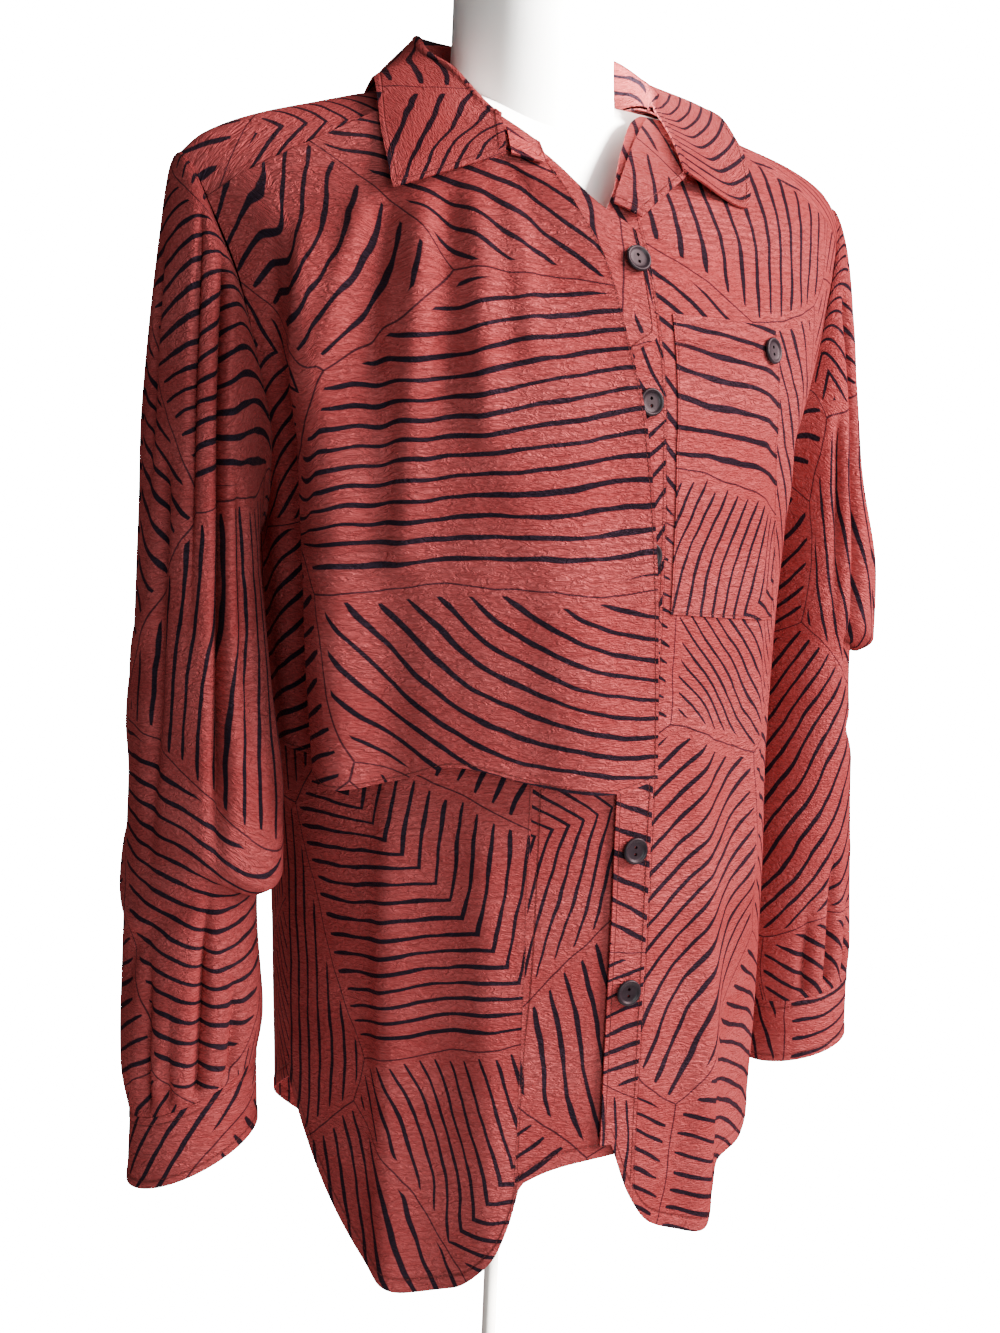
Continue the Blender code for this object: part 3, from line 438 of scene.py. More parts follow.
FINE_PLEATS = {
    # side: angle from the outer side to the front, width in degrees, depth, start and end along the sleeve
    -1: ((4.0, 5.0, 4.0 * MM, 0.10, 0.42), (24.0, 8.0, 7.0 * MM, 0.28, 0.80),
         (54.0, 4.2, 8.0 * MM, 0.02, 0.50), (81.0, 5.6, 19.0 * MM, 0.02, 0.72),
         (103.0, 6.0, 4.0 * MM, 0.20, 0.66), (-24.0, 6.0, 8.0 * MM, 0.03, 0.62),
         (-52.0, 6.0, 10.0 * MM, 0.03, 0.60), (-80.0, 8.0, 9.0 * MM, 0.08, 0.66),
         (30.0, 6.0, 7.0 * MM, 0.99, 0.76), (52.0, 5.0, 5.0 * MM, 0.99, 0.84),
         (78.0, 6.0, 9.0 * MM, 0.99, 0.70), (108.0, 6.0, 6.0 * MM, 0.99, 0.80),
         (-40.0, 7.0, 8.0 * MM, 0.99, 0.74), (-85.0, 8.0, 6.0 * MM, 0.99, 0.80)),
    1: ((18.0, 6.0, 5.0 * MM, 0.06, 0.40), (47.0, 6.0, 8.0 * MM, 0.03, 0.52),
        (76.0, 6.0, 10.0 * MM, 0.03, 0.60), (100.0, 6.0, 5.0 * MM, 0.12, 0.50),
        (-22.0, 7.0, 7.0 * MM, 0.03, 0.60), (-52.0, 7.0, 9.0 * MM, 0.03, 0.60),
        (-80.0, 8.0, 7.0 * MM, 0.08, 0.66), (30.0, 6.0, 7.0 * MM, 0.99, 0.78),
        (58.0, 5.0, 6.0 * MM, 0.99, 0.84), (84.0, 6.0, 8.0 * MM, 0.99, 0.74),
        (112.0, 6.0, 6.0 * MM, 0.99, 0.80), (-40.0, 7.0, 8.0 * MM, 0.99, 0.74)),
}
SLEEVE_CREASES = {
    # side: start round and height, end round and height, width, height
    -1: ((0.02, 1.10, -0.03, 1.00, 0.010, 2.5 * MM), (0.06, 0.92, 0.00, 0.86, 0.008, -3.0 * MM),
         (-0.04, 0.95, 0.03, 0.90, 0.008, 3.0 * MM)),
    1: ((0.02, 1.12, -0.03, 1.05, 0.010, 2.5 * MM), (0.06, 1.00, 0.00, 0.93, 0.008, -3.0 * MM),
        (-0.04, 0.98, 0.03, 0.90, 0.008, 3.0 * MM)),
}

# Colours, the print, light and camera
RUST_DEEP = (0.35, 0.056, 0.057)
RUST_BRIGHT = (0.45, 0.083, 0.084)
# Painted highlight on the crumple's ridges
RUST_RIDGE_HIGHLIGHT = (0.62, 0.140, 0.139)
NAVY_DEEP = (0.020, 0.014, 0.022)
NAVY_PALE = (0.034, 0.022, 0.034)
# Painted shade darkens the cloth along the stitch lines
STITCH_GROOVE_SHADOW = (0.12, 0.02, 0.02)
THREAD_COLOURS = ((0.14, 0.028, 0.028), (0.30, 0.06, 0.055))
RESIN_COLOURS = ((0.016, 0.010, 0.014), (0.028, 0.019, 0.025))
SHELL_COLOURS = ((0.84, 0.825, 0.79), (0.90, 0.885, 0.86))
PAINT_COLOURS = ((0.70, 0.66, 0.60), (0.80, 0.765, 0.70))
FLOOR_COLOURS = ((0.92, 0.91, 0.885), (0.95, 0.94, 0.93))
PRINT_SIZES = {"Patch": 0.17, "Pitch": 0.0130, "Width": 0.0030, "Line": 0.0007}
STROKE_NOISE = 32.0
CRUMPLE_STRETCH = (0.30, 1.0, 1.0)
CRUMPLE_NOISE = {"ridges": 330.0, "fine": 900.0, "slow": 22.0}
CRUMPLE_DEPTH = 0.0011
PRINT_DRIFTS = (
    # noise scale, how far it carries the print
    (6.0, 0.034), (20.0, 0.006), (70.0, 0.0012),
)
PATCH_SPREAD = 0.85
CHEVRON_ABOVE = 0.72
CHEVRON_SLOPE = 0.85
STRIPE_BOW = 5.0
STRIPE_GAP = (0.0028, 0.0045)
STRIPE_TAPER = 0.006
INK_EDGE = 0.0003
FLOOR_RADIUS = 1.3
FLOOR_GLOW = 20.0
ROOM_LIGHT = 0.20
BACKDROP_LIGHT = 24.0
LAMPS = {
    # name: place, target, width, power, colour
    "window": ((1.70, -1.30, 2.35), (0.05, -0.05, 1.10), 1.7, 166.0, (1.0, 0.69, 0.71)),
    "room": ((-0.30, -2.4, 1.5), (0.0, 0.0, 1.1), 1.2, 29.0, (0.88, 1.0, 1.0)),
    "form lamp": ((1.5, -1.5, 2.0), (0.0, 0.0, 1.40), 0.8, 1500.0, (1.0, 1.0, 0.985)),
}
IMAGE_HEIGHT = 1333
FOCAL_PIXELS = 1860.0
SENSOR = 36.0
CAMERA_AZIMUTH = math.radians(-29.5)
CAMERA_DISTANCE = 1.24
CAMERA_HEIGHT = 1.26
CAMERA_PAN = math.radians(0.5)
CAMERA_PITCH = math.radians(10.0)
CAMERA_ROLL = math.radians(2.3)


def smooth(value):
    """An eased step from 0 to 1."""
    value = np.clip(value, 0.0, 1.0)
    return value * value * (3.0 - 2.0 * value)


def mix(start, end, share):
    return start + (end - start) * share


def read(table, key, column):
    """Smooth values from a table with its keys in its first column, rising."""
    keys = np.array([row[0] for row in table], float)
    values = np.array([row[column] for row in table], float)
    steps = np.diff(keys)
    slopes = np.diff(values) / steps
    before, after = slopes[:-1], slopes[1:]
    turning = before * after <= 0.0
    total = np.where(turning, 1.0, before + after)
    inner = np.where(turning, 0.0, 2.0 * before * after / total)
    tangents = np.concatenate([slopes[:1], inner, slopes[-1:]])
    key = np.clip(key, keys[0], keys[-1])
    i = np.clip(np.searchsorted(keys, key, side="right") - 1, 0, len(steps) - 1)
    t = (key - keys[i]) / steps[i]
    return ((1 + 2 * t) * (1 - t) ** 2 * values[i] + t * (1 - t) ** 2 * steps[i] * tangents[i]
            + t * t * (3 - 2 * t) * values[i + 1] + t * t * (t - 1) * steps[i] * tangents[i + 1])


def unit(vectors):
    return vectors / np.maximum(np.linalg.norm(vectors, axis=-1, keepdims=True), 1e-12)


def bell(distance, width):
    return np.exp(-(distance / width) ** 2)


# The body's surface, as the solids have it

def arch(climb, shape):
    power, root = shape
    return np.maximum(0.0, 1.0 - np.sin(climb) ** power) ** root


def body_base(girth, level):
    girth, level = np.broadcast_arrays(np.asarray(girth, float), np.asarray(level, float))
    sine, cosine = np.sin(girth), np.cos(girth)
    front = cosine >= 0
    low = np.minimum(level, CHEST)
    climb = np.clip((level - CHEST) / ARCH_RADIUS, 0.0, math.pi / 2)
    share = np.sin(climb)
    half = read(SECTIONS, low, 1) + SHOULDER_SPREAD * share
    depth = np.where(front, read(SECTIONS, low, 2), read(SECTIONS, low, 3))
    depth = depth * np.where(front, arch(climb, FRONT_ARCH), arch(climb, BACK_ARCH))
    top = read(SHOULDER_LINE, np.abs(sine) * (SECTIONS[-1][1] + SHOULDER_SPREAD), 1)
    height = np.where(level <= CHEST, level, CHEST + (top - CHEST) * share)
    return np.stack([read(SECTIONS, low, 4) + half * sine, -depth * cosine, height], -1)


def body_out(girth, level):
    step = 0.004
    level = np.minimum(level, RIDGE_LEVEL - 2 * step)
    across = body_base(girth + step, level) - body_base(girth - step, level)
    up = body_base(girth, level + step) - body_base(girth, level - step)
    return unit(np.cross(across, up))


def half_width(level):
    climb = np.clip((level - CHEST) / ARCH_RADIUS, 0.0, math.pi / 2)
    return read(SECTIONS, np.minimum(level, CHEST), 1) + SHOULDER_SPREAD * np.sin(climb)


def angle_at(x, level):
    return np.arcsin(np.clip((x - read(SECTIONS, level, 4)) / half_width(level), -1.0, 1.0))


def level_at(girth, height):
    top = read(SHOULDER_LINE, np.abs(np.sin(girth)) * (SECTIONS[-1][1] + SHOULDER_SPREAD), 1)
    share = np.clip((height - CHEST) / (top - CHEST), 0.0, 1.0)
    return np.where(height <= CHEST, height, CHEST + ARCH_RADIUS * np.arcsin(share))


def on_front(x, height):
    level = height
    for _ in range(4):
        girth = angle_at(x, level)
        level = level_at(girth, height)
    return float(girth), float(level)


def fold_height(side, girth, level):
    total = 0.0
    angle = np.degrees(np.abs(girth))
    for fold_side, at, width, height, starts, full in FOLDS:
        if fold_side == side:
            total = total + height * smooth((starts - level) / (starts - full)) * bell(angle - at, width)
    return total


def near_centre(girth):
    return 1.0 - smooth((np.abs(girth) - LAYER_FADES[0]) / (LAYER_FADES[1] - LAYER_FADES[0]))


def armhole_angle(level):
    return np.where(level <= UNDERARM, math.pi / 2, np.radians(read(ARMHOLE, level, 1)))


def yoke_front_level(girth):
    share = smooth((np.abs(np.sin(girth)) - NECK_SINE) / (TIP_SINE - NECK_SINE))
    return CHEST + ARCH_RADIUS * mix(YOKE_FRONT_AT_NECK, YOKE_FRONT_AT_TIP, share)


def front_top_level(side, girth):
    sine = np.sin(girth)
    seam = yoke_front_level(girth)
    x = sine * (SECTIONS[-1][1] + SPREAD_AT_NECK * SHOULDER_SPREAD)
    neckline = read(RIGHT_NECKLINE if side < 0 else LEFT_NECKLINE, x, 1)
    past_neck = smooth((np.abs(sine) - NECK_SINE) / NECK_EASE + 1.0)
    return mix(np.minimum(seam, level_at(girth, neckline)), seam, past_neck)


def hem_height(side, girth):
    return read(RIGHT_HEM if side < 0 else LEFT_HEM, np.degrees(side * girth), 1)


# Soft folds that the solids leave out

def ripple(u, v, size, seed):
    """Small uneven waves in the cloth, the same each run."""
    draw = np.random.default_rng(seed)
    total = 0.0
    for _ in range(WAVE_COUNT):
        lean = draw.normal(0.0, 0.45)
        pitch = draw.uniform(*WAVE_PITCHES)
        phase = draw.uniform(0.0, 2 * math.pi)
        way = u * math.cos(lean) + v * math.sin(lean)
        drift = 0.6 * np.sin(v * draw.uniform(8.0, 20.0) + draw.uniform(0.0, 6.0))
        total = total + np.sin(2 * math.pi * way / pitch + phase + drift) * pitch
    return total / WAVE_COUNT / MEAN_WAVE_PITCH * size


def crease(x, z, table):
    """Soft ridges and troughs along short lines, each easing out at its ends."""
    total = 0.0
    for x0, z0, x1, z1, width, height in table:
        length = math.hypot(x1 - x0, z1 - z0)
        along_x, along_z = (x1 - x0) / length, (z1 - z0) / length
        way = ((x - x0) * along_x + (z - z0) * along_z) / length
        off = (x - x0) * along_z - (z - z0) * along_x
        bow = CREASE_BOW * np.sin(math.pi * np.clip(way, 0.0, 1.0))
        ends = smooth(way / 0.25 + 0.4) * smooth((1.0 - way) / 0.25 + 0.4)
        total = total + height * ends * bell(off - bow, width)
    return total


def drape(girth, level, folds):
    """Folds down the body, each along its own line of levels and angles."""
    angle = np.degrees(np.abs(girth))
    total = 0.0
    for ahead, behind, height, line in folds:
        off = angle - read(line, level, 1)
        ends = smooth((level - line[0][0]) / 0.03 + 0.6) * smooth((line[-1][0] - level) / 0.05 + 0.3)
        total = total + height * ends * np.where(off < 0, bell(off, ahead), bell(off, behind))
    return total


# Shells of cloth

stitch_rows = []


def facing(points, ring, flip):
    if ring:
        wrapped = np.concatenate([points[:, -2:-1], points, points[:, 1:2]], 1)
        across = wrapped[:, 2:] - wrapped[:, :-2]
    else:
        across = np.gradient(points, axis=1)
    normal = unit(np.cross(across, np.gradient(points, axis=0)))
    return -normal if flip else normal


def edge_ways(points):
    """How far each point lies from each side of its sheet, along the cloth."""
    across = np.linalg.norm(np.diff(points, axis=1), axis=-1)
    along = np.linalg.norm(np.diff(points, axis=0), axis=-1)
    left = np.concatenate([np.zeros((len(points), 1)), np.cumsum(across, 1)], 1)
    low = np.concatenate([np.zeros((1, points.shape[1])), np.cumsum(along, 0)], 0)
    return {"left": left, "right": left[:, -1:] - left, "low": low, "high": low[-1:] - low}


def line_at(points, way, side, distance):
    """The line on a sheet at one distance from one of its sides."""
    if side in ("low", "high"):
        points, way = points.transpose(1, 0, 2), way.T
    if side in ("right", "high"):
        points, way = points[:, ::-1], way[:, ::-1]
    line = []
    for row, ways in zip(points, way):
        line.append([np.interp(distance, ways, row[:, k]) for k in range(3)])
    return np.array(line)


def shell(name, points, chart, material, ring=False, flip=False, sewn=(), thick=SHEET, lift=SKIN):
    """A thin closed sheet. sewn lists a side, its stitch line's distance and whether the hem is turned."""
    normal = facing(points, ring, flip)
    ways = edge_ways(points)
    stitch_way = np.full(points.shape[:2], NO_STITCH)
    turned_in = np.zeros(points.shape[:2])
    for side, distance, folded in sewn:
        stitch_way = np.minimum(stitch_way, ways[side] / distance)
        if folded:
            turned_in = np.maximum(turned_in, smooth((distance - ways[side]) / (0.3 * distance) + 0.5))
    outer = points + normal * (lift + thick + HEM_FOLD * turned_in)[..., None]
    inner = points + normal * lift
    for side, distance, folded in sewn:
        stitch_rows.append(line_at(outer + normal * STITCH_RISE, ways[side], side, distance))
    rows, columns = points.shape[:2]
    unique = columns - 1 if ring else columns
    low, left = np.meshgrid(np.arange(rows - 1), np.arange(columns - 1), indexing="ij")
    low, left = low.ravel(), left.ravel()
    corners = [(low, left), (low, left + 1), (low + 1, left + 1), (low + 1, left)]
    skin = rows * unique
    faces, spots = [], []
    for shift, order in ((0, corners), (skin, corners[::-1])):
        faces.append(np.stack([shift + j * unique + i % unique for j, i in order], 1))
        spots.append(np.stack([chart[j, i] for j, i in order], 1))
    borders = []
    steps = np.arange(columns - 1)
    for j in (0, rows - 1):
        borders.append((np.full(columns - 1, j), steps, np.full(columns - 1, j), steps + 1))
    if not ring:
        steps = np.arange(rows - 1)
        for i in (0, columns - 1):
            borders.append((steps, np.full(rows - 1, i), steps + 1, np.full(rows - 1, i)))
    for j0, i0, j1, i1 in borders:
        start, end = j0 * unique + i0 % unique, j1 * unique + i1 % unique
        faces.append(np.stack([start, end, skin + end, skin + start], 1))
        spots.append(np.stack([chart[j0, i0], chart[j1, i1], chart[j1, i1], chart[j0, i0]], 1))
    faces, spots = np.concatenate(faces), np.concatenate(spots)
    vertices = np.concatenate([outer[:, :unique].reshape(-1, 3), inner[:, :unique].reshape(-1, 3)])
    data = bpy.data.meshes.new(name)
    data.from_pydata(vertices.tolist(), [], faces.tolist())
    layer = data.uv_layers.new(name="cloth")
    layer.data.foreach_set("uv", spots.reshape(-1).astype(np.float32))
    attribute = data.attributes.new("stitch_way", "FLOAT", "POINT")
    flat_way = stitch_way[:, :unique].ravel()
    attribute.data.foreach_set("value", np.concatenate([flat_way, flat_way]).astype(np.float32))
    return add_piece(name, data, material, recalculate=True)


def add_piece(name, data, material, recalculate=False, sharp=50.0):
    if recalculate:
        mesh = bmesh.new()
        mesh.from_mesh(data)
        bmesh.ops.recalc_face_normals(mesh, faces=mesh.faces)
        mesh.to_mesh(data)
        mesh.free()
    data.shade_smooth()
    data.set_sharp_from_angle(angle=math.radians(sharp))
    data.materials.clear()
    data.materials.append(material)
    piece = bpy.data.objects.new(name, data)
    bpy.context.scene.collection.objects.link(piece)
    return piece


def dress(piece, nodes, points=None):
    """Hang a piece on the root body and hide the solids that it takes the place of."""
    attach(piece, "root")
    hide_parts(*nodes)
    if points is not None:
        across = np.gradient(points, axis=1)
        along = np.gradient(points, axis=0)
        cells = np.linalg.norm(np.cross(across, along), axis=-1)
        cells[[0, -1]] *= 0.5
        cells[:, [0, -1]] *= 0.5


def cloth(node, points, across, up, material, sewn, held="hung", rests_on=("form_torso",), **form):
    """One sheet of the blouse. across and up say how far the print has run at each point."""
    place = PRINT_PLACES[node]
    chart = np.stack([across + place[0], up + place[1]], -1)
    piece = shell(node + "_cloth", points, chart, material, sewn=sewn, **form)
    dress(piece, [node], points)


def up_from_hem(points):
    """The height of the hem, and from there the way up along the cloth."""
    return points[0, :, 2] + edge_ways(points)["low"]


def spread(name):
    """Shares from 0 to 1 across and along a sheet."""
    columns, rows = GRIDS[name]
    return np.meshgrid(np.linspace(0.0, 1.0, columns), np.linspace(0.0, 1.0, rows))


# Panels of the body

def front_place(side, edge_angle, s, t, side_angle=None):
    seam_top = yoke_front_level(MID_SHOULDER)
    level = mix(SIDE_HEM, seam_top, t)
    far = side * armhole_angle(level)
    for _ in range(2):
        if side_angle:
            far = side_angle(level)
        girth = mix(edge_angle(level), far, s)
        level = mix(hem_height(side, girth), front_top_level(side, girth), t)
    return girth, level


def front_points(side, girth, level, lift=0.0):
    rise = lift + fold_height(side, girth, level)
    if side < 0:
        rise = rise + near_centre(girth) * read(RIGHT_EDGE, level, 2)
    base = body_base(girth, level)
    soft = drape(girth, level, RIGHT_DRAPE if side < 0 else LEFT_DRAPE)
    calm = smooth((math.pi / 2 - np.abs(girth)) / SIDE_EASE) * smooth((OVERLAY_TOP - base[..., 2]) / TOP_EASE)
    waves = ripple(girth * GIRTH_RADIUS, level, FRONT_WAVES[0], FRONT_WAVES[1] + side)
    return base + body_out(girth, level) * (rise + (soft + waves) * calm)[..., None]


def make_fronts(material):
    right_seam = lambda level: angle_at(RIGHT_BAND_SEAM, level)
    right_edge = lambda level: angle_at(read(RIGHT_EDGE, level, 1), level)
    left_edge = lambda level: angle_at(-BUTTON_REACH, level)
    left_seam = lambda level: angle_at(BAND_WIDTH - BUTTON_REACH, level)
    hem = ("low", HEM_STITCH, True)
    panels = (
        # node, side, edge, far seam, sewn sides
        ("right_front", -1, right_seam, None, (hem, ("left", SEAM_STITCH, False))),
        ("right_band", -1, right_edge, right_seam,
         (hem, ("left", EDGE_STITCH, True), ("right", EDGE_STITCH, False))),
        ("left_front", 1, left_seam, None, (hem, ("left", SEAM_STITCH, False))),
        ("left_band", 1, left_edge, left_seam,
         (hem, ("left", BAND_STITCH, True), ("right", BAND_STITCH, True))),
    )
    for node, side, edge, far_seam, sewn in panels:
        s, t = spread(node)
        girth, level = front_place(side, edge, s, t, far_seam)
        points = front_points(side, girth, level)
        cloth(node, points, girth * GIRTH_RADIUS, up_from_hem(points), material, sewn, flip=side < 0)


def make_back(material):
    top = CHEST + ARCH_RADIUS * (math.pi / 2 - YOKE_BACK)
    s, t = spread("back")
    span = armhole_angle(mix(SIDE_HEM, top, t))
    turn = mix(-span, span, s)
    level = mix(read(BACK_HEM, np.degrees(np.abs(turn)), 1), top, t)
    signed = np.where(turn > 0, -1.0, 1.0) * (math.pi - np.abs(turn))
    folds = np.where(turn > 0, fold_height(-1, signed, level), fold_height(1, signed, level))
    calm = smooth((span - np.abs(turn)) / BACK_SIDE_EASE) * smooth((top - level) / TOP_EASE)
    waves = ripple(turn * GIRTH_RADIUS, level, *BACK_WAVES) * calm
    points = body_base(signed, level) + body_out(signed, level) * (folds + waves)[..., None]
    cloth("back", points, turn * GIRTH_RADIUS, up_from_hem(points), material,
          (("low", HEM_STITCH, True), ("high", SEAM_STITCH, False)))


def make_yoke(material):
    s, t = spread("yoke")
    across = 2.0 * s - 1.0
    span = armhole_angle(CHEST + ARCH_RADIUS * (math.pi / 2 - YOKE_BACK))
    end_sine = np.sin(across * span)
    tip = math.sin(armhole_angle(RIDGE_LEVEL))
    outward = (np.abs(across) - YOKE_NECK_SHARE) / (1.0 - YOKE_NECK_SHARE)
    seam_sine = np.clip(mix(-NECK_HOLE[0][1], 1.0, outward), 0.0, 1.0) * tip
    seam = yoke_front_level(np.arcsin(seam_sine))
    side_sine = np.copysign(mix(-NECK_HOLE[0][1], np.sin(armhole_angle(seam)), outward), across)
    side_lean = (yoke_front_level(np.arcsin(side_sine)) - CHEST) / ARCH_RADIUS - math.pi / 2
    round_neck = (across + YOKE_NECK_SHARE) / (2 * YOKE_NECK_SHARE)
    at_neck = np.abs(across) <= YOKE_NECK_SHARE
    start_sine = np.where(at_neck, read(NECK_HOLE, round_neck, 1), side_sine)
    start_lean = np.where(at_neck, np.radians(read(NECK_HOLE, round_neck, 2)), side_lean)
    lean = mix(start_lean, YOKE_BACK, t)
    girth = np.arcsin(mix(start_sine, end_sine, t))
    girth = np.where(lean > 0, math.pi - girth, girth)
    level = CHEST + ARCH_RADIUS * (math.pi / 2 - np.abs(lean))
    points = body_base(girth, level)
    back_from_front = points[0, :, 1] + edge_ways(points)["low"]
    cloth("yoke", points, points[..., 0], back_from_front, material,
          (("low", SEAM_STITCH, False), ("high", SEAM_STITCH, False)))


def overlay_rise(girth, level):
    fall = smooth((OVERLAY_TOP - level) / (OVERLAY_TOP - OVERLAY_LOW))
    rise = OVERLAY_HANG * fall * smooth((math.pi / 2 - np.abs(girth)) / OVERLAY_HANG_EASE)
    angle = np.degrees(np.abs(girth))
    for at, width, height, starts, full in OVERLAY_FOLDS:
        rise = rise + height * smooth((starts - level) / (starts - full)) * bell(angle - at, width)
    return rise


def make_overlay(material):
    s, t = spread("overlay")
    level = mix(OVERLAY_LOW, yoke_front_level(MID_SHOULDER), t)
    far = -armhole_angle(level)
    for _ in range(2):
        edge = angle_at(read(OVERLAY_EDGE, level, 1), level)
        girth = mix(edge, far, s)
        hem = read(OVERLAY_HEM, np.degrees(np.abs(girth)), 1)
        level = mix(hem, front_top_level(-1, girth), t)
    from_side = (np.abs(far) - np.abs(girth)) * GIRTH_RADIUS
    hang = mix(OVERLAY_REST, OVERLAY_LIFT, smooth(from_side / OVERLAY_HANGS_AFTER))
    rise = hang + near_centre(girth) * RIGHT_EDGE[-1][2] + overlay_rise(girth, level)
    from_edge = (np.abs(girth) - np.abs(edge)) * GIRTH_RADIUS
    starts = smooth((level - EDGE_LIFT_STARTS[0]) / EDGE_LIFT_STARTS[1])
    ends = smooth((EDGE_LIFT_ENDS[0] - level) / EDGE_LIFT_ENDS[1])
    rise = rise + EDGE_LIFT * bell(from_edge, EDGE_LIFT_WIDTH) * starts * ends
    base = body_base(girth, level)
    calm = smooth(from_side / OVERLAY_EASE) * smooth((OVERLAY_CALM_TOP - base[..., 2]) / OVERLAY_EASE)
    soft = drape(girth, level, OVERLAY_DRAPE) + ripple(girth * GIRTH_RADIUS, level, *OVERLAY_WAVES)
    points = base + body_out(girth, level) * (rise + soft * calm)[..., None]
    cloth("overlay", points, girth * GIRTH_RADIUS, up_from_hem(points), material,
          (("low", OVERLAY_STITCH, True), ("left", OVERLAY_STITCH, True)),
          rests_on=("right_front", "form_torso"), flip=True)


# Collar and revers

def make_collar(material):
    s, t = spread("collar")
    station = lambda first: np.stack([read(COLLAR, s, first + k) for k in range(3)], -1)
    roll, edge, stand = station(1), station(4), read(COLLAR, s, 7)[..., None]
    edge = edge + np.array(LEAF_REST) * bell(s - LEAF_REST_AT[0], LEAF_REST_AT[1])[..., None]
    fall = unit(edge - roll)
    down = np.array([0.0, 0.0, -1.0])
    outward = unit(fall - down * (fall @ down)[..., None])
    foot = roll + down * stand + outward * STAND_LEAN * stand
    share = t[..., None]
    roll_from, roll_to = LEAF_ROLL
    turn = math.pi * np.clip((share - roll_from) / (roll_to - roll_from), 0.0, 1.0)
    over = roll - down * np.sin(turn) * ROLL_RADIUS + outward * ROLL_RADIUS * (1 - np.cos(turn))
    way = np.clip((share - roll_to) / (1.0 - roll_to), 0.0, 1.0)
    start = roll + outward * 2 * ROLL_RADIUS
    leaf = mix(start, edge, way) + outward * np.sin(math.pi * way) * LEAF_BOW
    points = np.where(share < roll_from, mix(foot, roll, share / roll_from),
                      np.where(share < roll_to, over, leaf))
    ways = edge_ways(points)
    middle = GRIDS["collar"][0] // 2
    cloth("collar", points, ways["left"] - ways["left"][:, middle:middle + 1], ways["low"], material,
          [(side, EDGE_STITCH, True) for side in ("high", "left", "right")],
          held="folded", rests_on=("yoke",))


def make_revers(material):
    for name, corners in REVERS.items():
        side = -1 if name.startswith("right") else 1
        s, t = spread("revers")
        spots = [np.array((*on_front(x, height), lift)) for x, height, lift in corners]
        gorge_roll, gorge_edge, low_edge, low_roll = spots
        s3, t3 = s[..., None], t[..., None]
        place = mix(mix(gorge_roll, gorge_edge, s3), mix(low_roll, low_edge, s3), t3)
        girth, level = place[..., 0], place[..., 1]
        points = body_base(girth, level) + body_out(girth, level) * place[..., 2:]
        cloth(name, points, points[..., 0], points[..., 2], material,
              (("right", EDGE_STITCH, True), ("high", EDGE_STITCH, True)),
              held="folded", rests_on=("overlay" if side < 0 else "left_front",), flip=side > 0)


# Sleeves and cuffs

def cuff_lift(side, angle):
    return CUFF_TILT[side] * side * CUFF_HALF_SIZES[0] * np.cos(angle)


def sleeve_points(side, s, t):
    sag_line, sag_angle, sag_spread = SAG_SIDES[side]
    angle = math.pi * (1.0 - 2.0 * s)
    degrees = np.degrees(angle)
    level = mix(RIDGE_LEVEL, UNDERARM, np.abs(angle) / math.pi)
    girth = armhole_angle(level)
    start = body_base(side * np.where(angle < 0, math.pi - girth, girth), level)
    end = CUFF_TOP + 0.5 * MM + cuff_lift(side, angle)
    height = mix(start[..., 2], end, t)
    low = mix(start[..., 2], CUFF_TOP, t)
    centre_x = side * read(SLEEVE_RINGS, low, 1 if side < 0 else 2)
    dent = 0.0
    for at, width, depth, begins, ends in FINE_PLEATS[side]:
        if begins < ends:
            run = smooth((t - begins) / PLEAT_OPENS) * smooth((ends - t) / PLEAT_FADES)
        else:
            run = smooth((begins + CUFF_PLEAT_OVER - t) / PLEAT_OPENS) * smooth((t - ends) / CUFF_PLEAT_FADES)
        dent = dent + depth * run * bell(degrees - at, width)
    dent = dent * smooth((1.0 - t) / CUFF_CALM)
    sector = bell(degrees - sag_angle, sag_spread)
    bulge = read(SAG, height - sag_line, 1) * sector * SAG_FULLER
    drop = read(SAG, height - sag_line, 2) * sector * SAG_FULLER
    out_x, out_y = side * np.cos(angle), -np.sin(angle)
    free = smooth((t - 0.05) / 0.15) * smooth((0.99 - t) / 0.06) * smooth((150.0 - np.abs(degrees)) / 30.0)
    waves = ripple(angle * SLEEVE_WAVE_RADIUS, height, SLEEVE_WAVES[0], SLEEVE_WAVES[1] + side)
    soft = (waves + crease(angle * SLEEVE_WAVE_RADIUS, height, SLEEVE_CREASES[side])) * free
    puff = bulge - dent + soft
    ring = np.stack([centre_x + out_x * (read(SLEEVE_RINGS, low, 4) + puff),
                     read(SLEEVE_RINGS, low, 3) + out_y * (read(SLEEVE_RINGS, low, 5) + puff),
                     height - drop], -1)
    share = 1.0 - (1.0 - np.minimum(1.0, t / SLEEVE_LEAVES_ARMHOLE)) ** 2
    layers = (SHELL_LAYERS if side > 0 else 2 * SHELL_LAYERS) + 0 * angle
    clear = SHELL_CLEAR + layers * smooth((np.abs(degrees) - 20.0) / 65.0)
    start = start + np.stack([side * clear, 0 * clear, 0 * clear], -1)
    return mix(start, ring, share[..., None]), angle, height


def cuff_points(side, s, t):
    angle = math.pi * (1.0 - 2.0 * s)
    size = mix(1.0, CUFF_FLARE, t)
    return np.stack([side * (CUFF_CENTRE[0] + CUFF_HALF_SIZES[0] * size * np.cos(angle)),
                     CUFF_CENTRE[1] - CUFF_HALF_SIZES[1] * size * np.sin(angle),
                     CUFF_TOP - CUFF_HEIGHT * t + cuff_lift(side, angle)], -1), angle


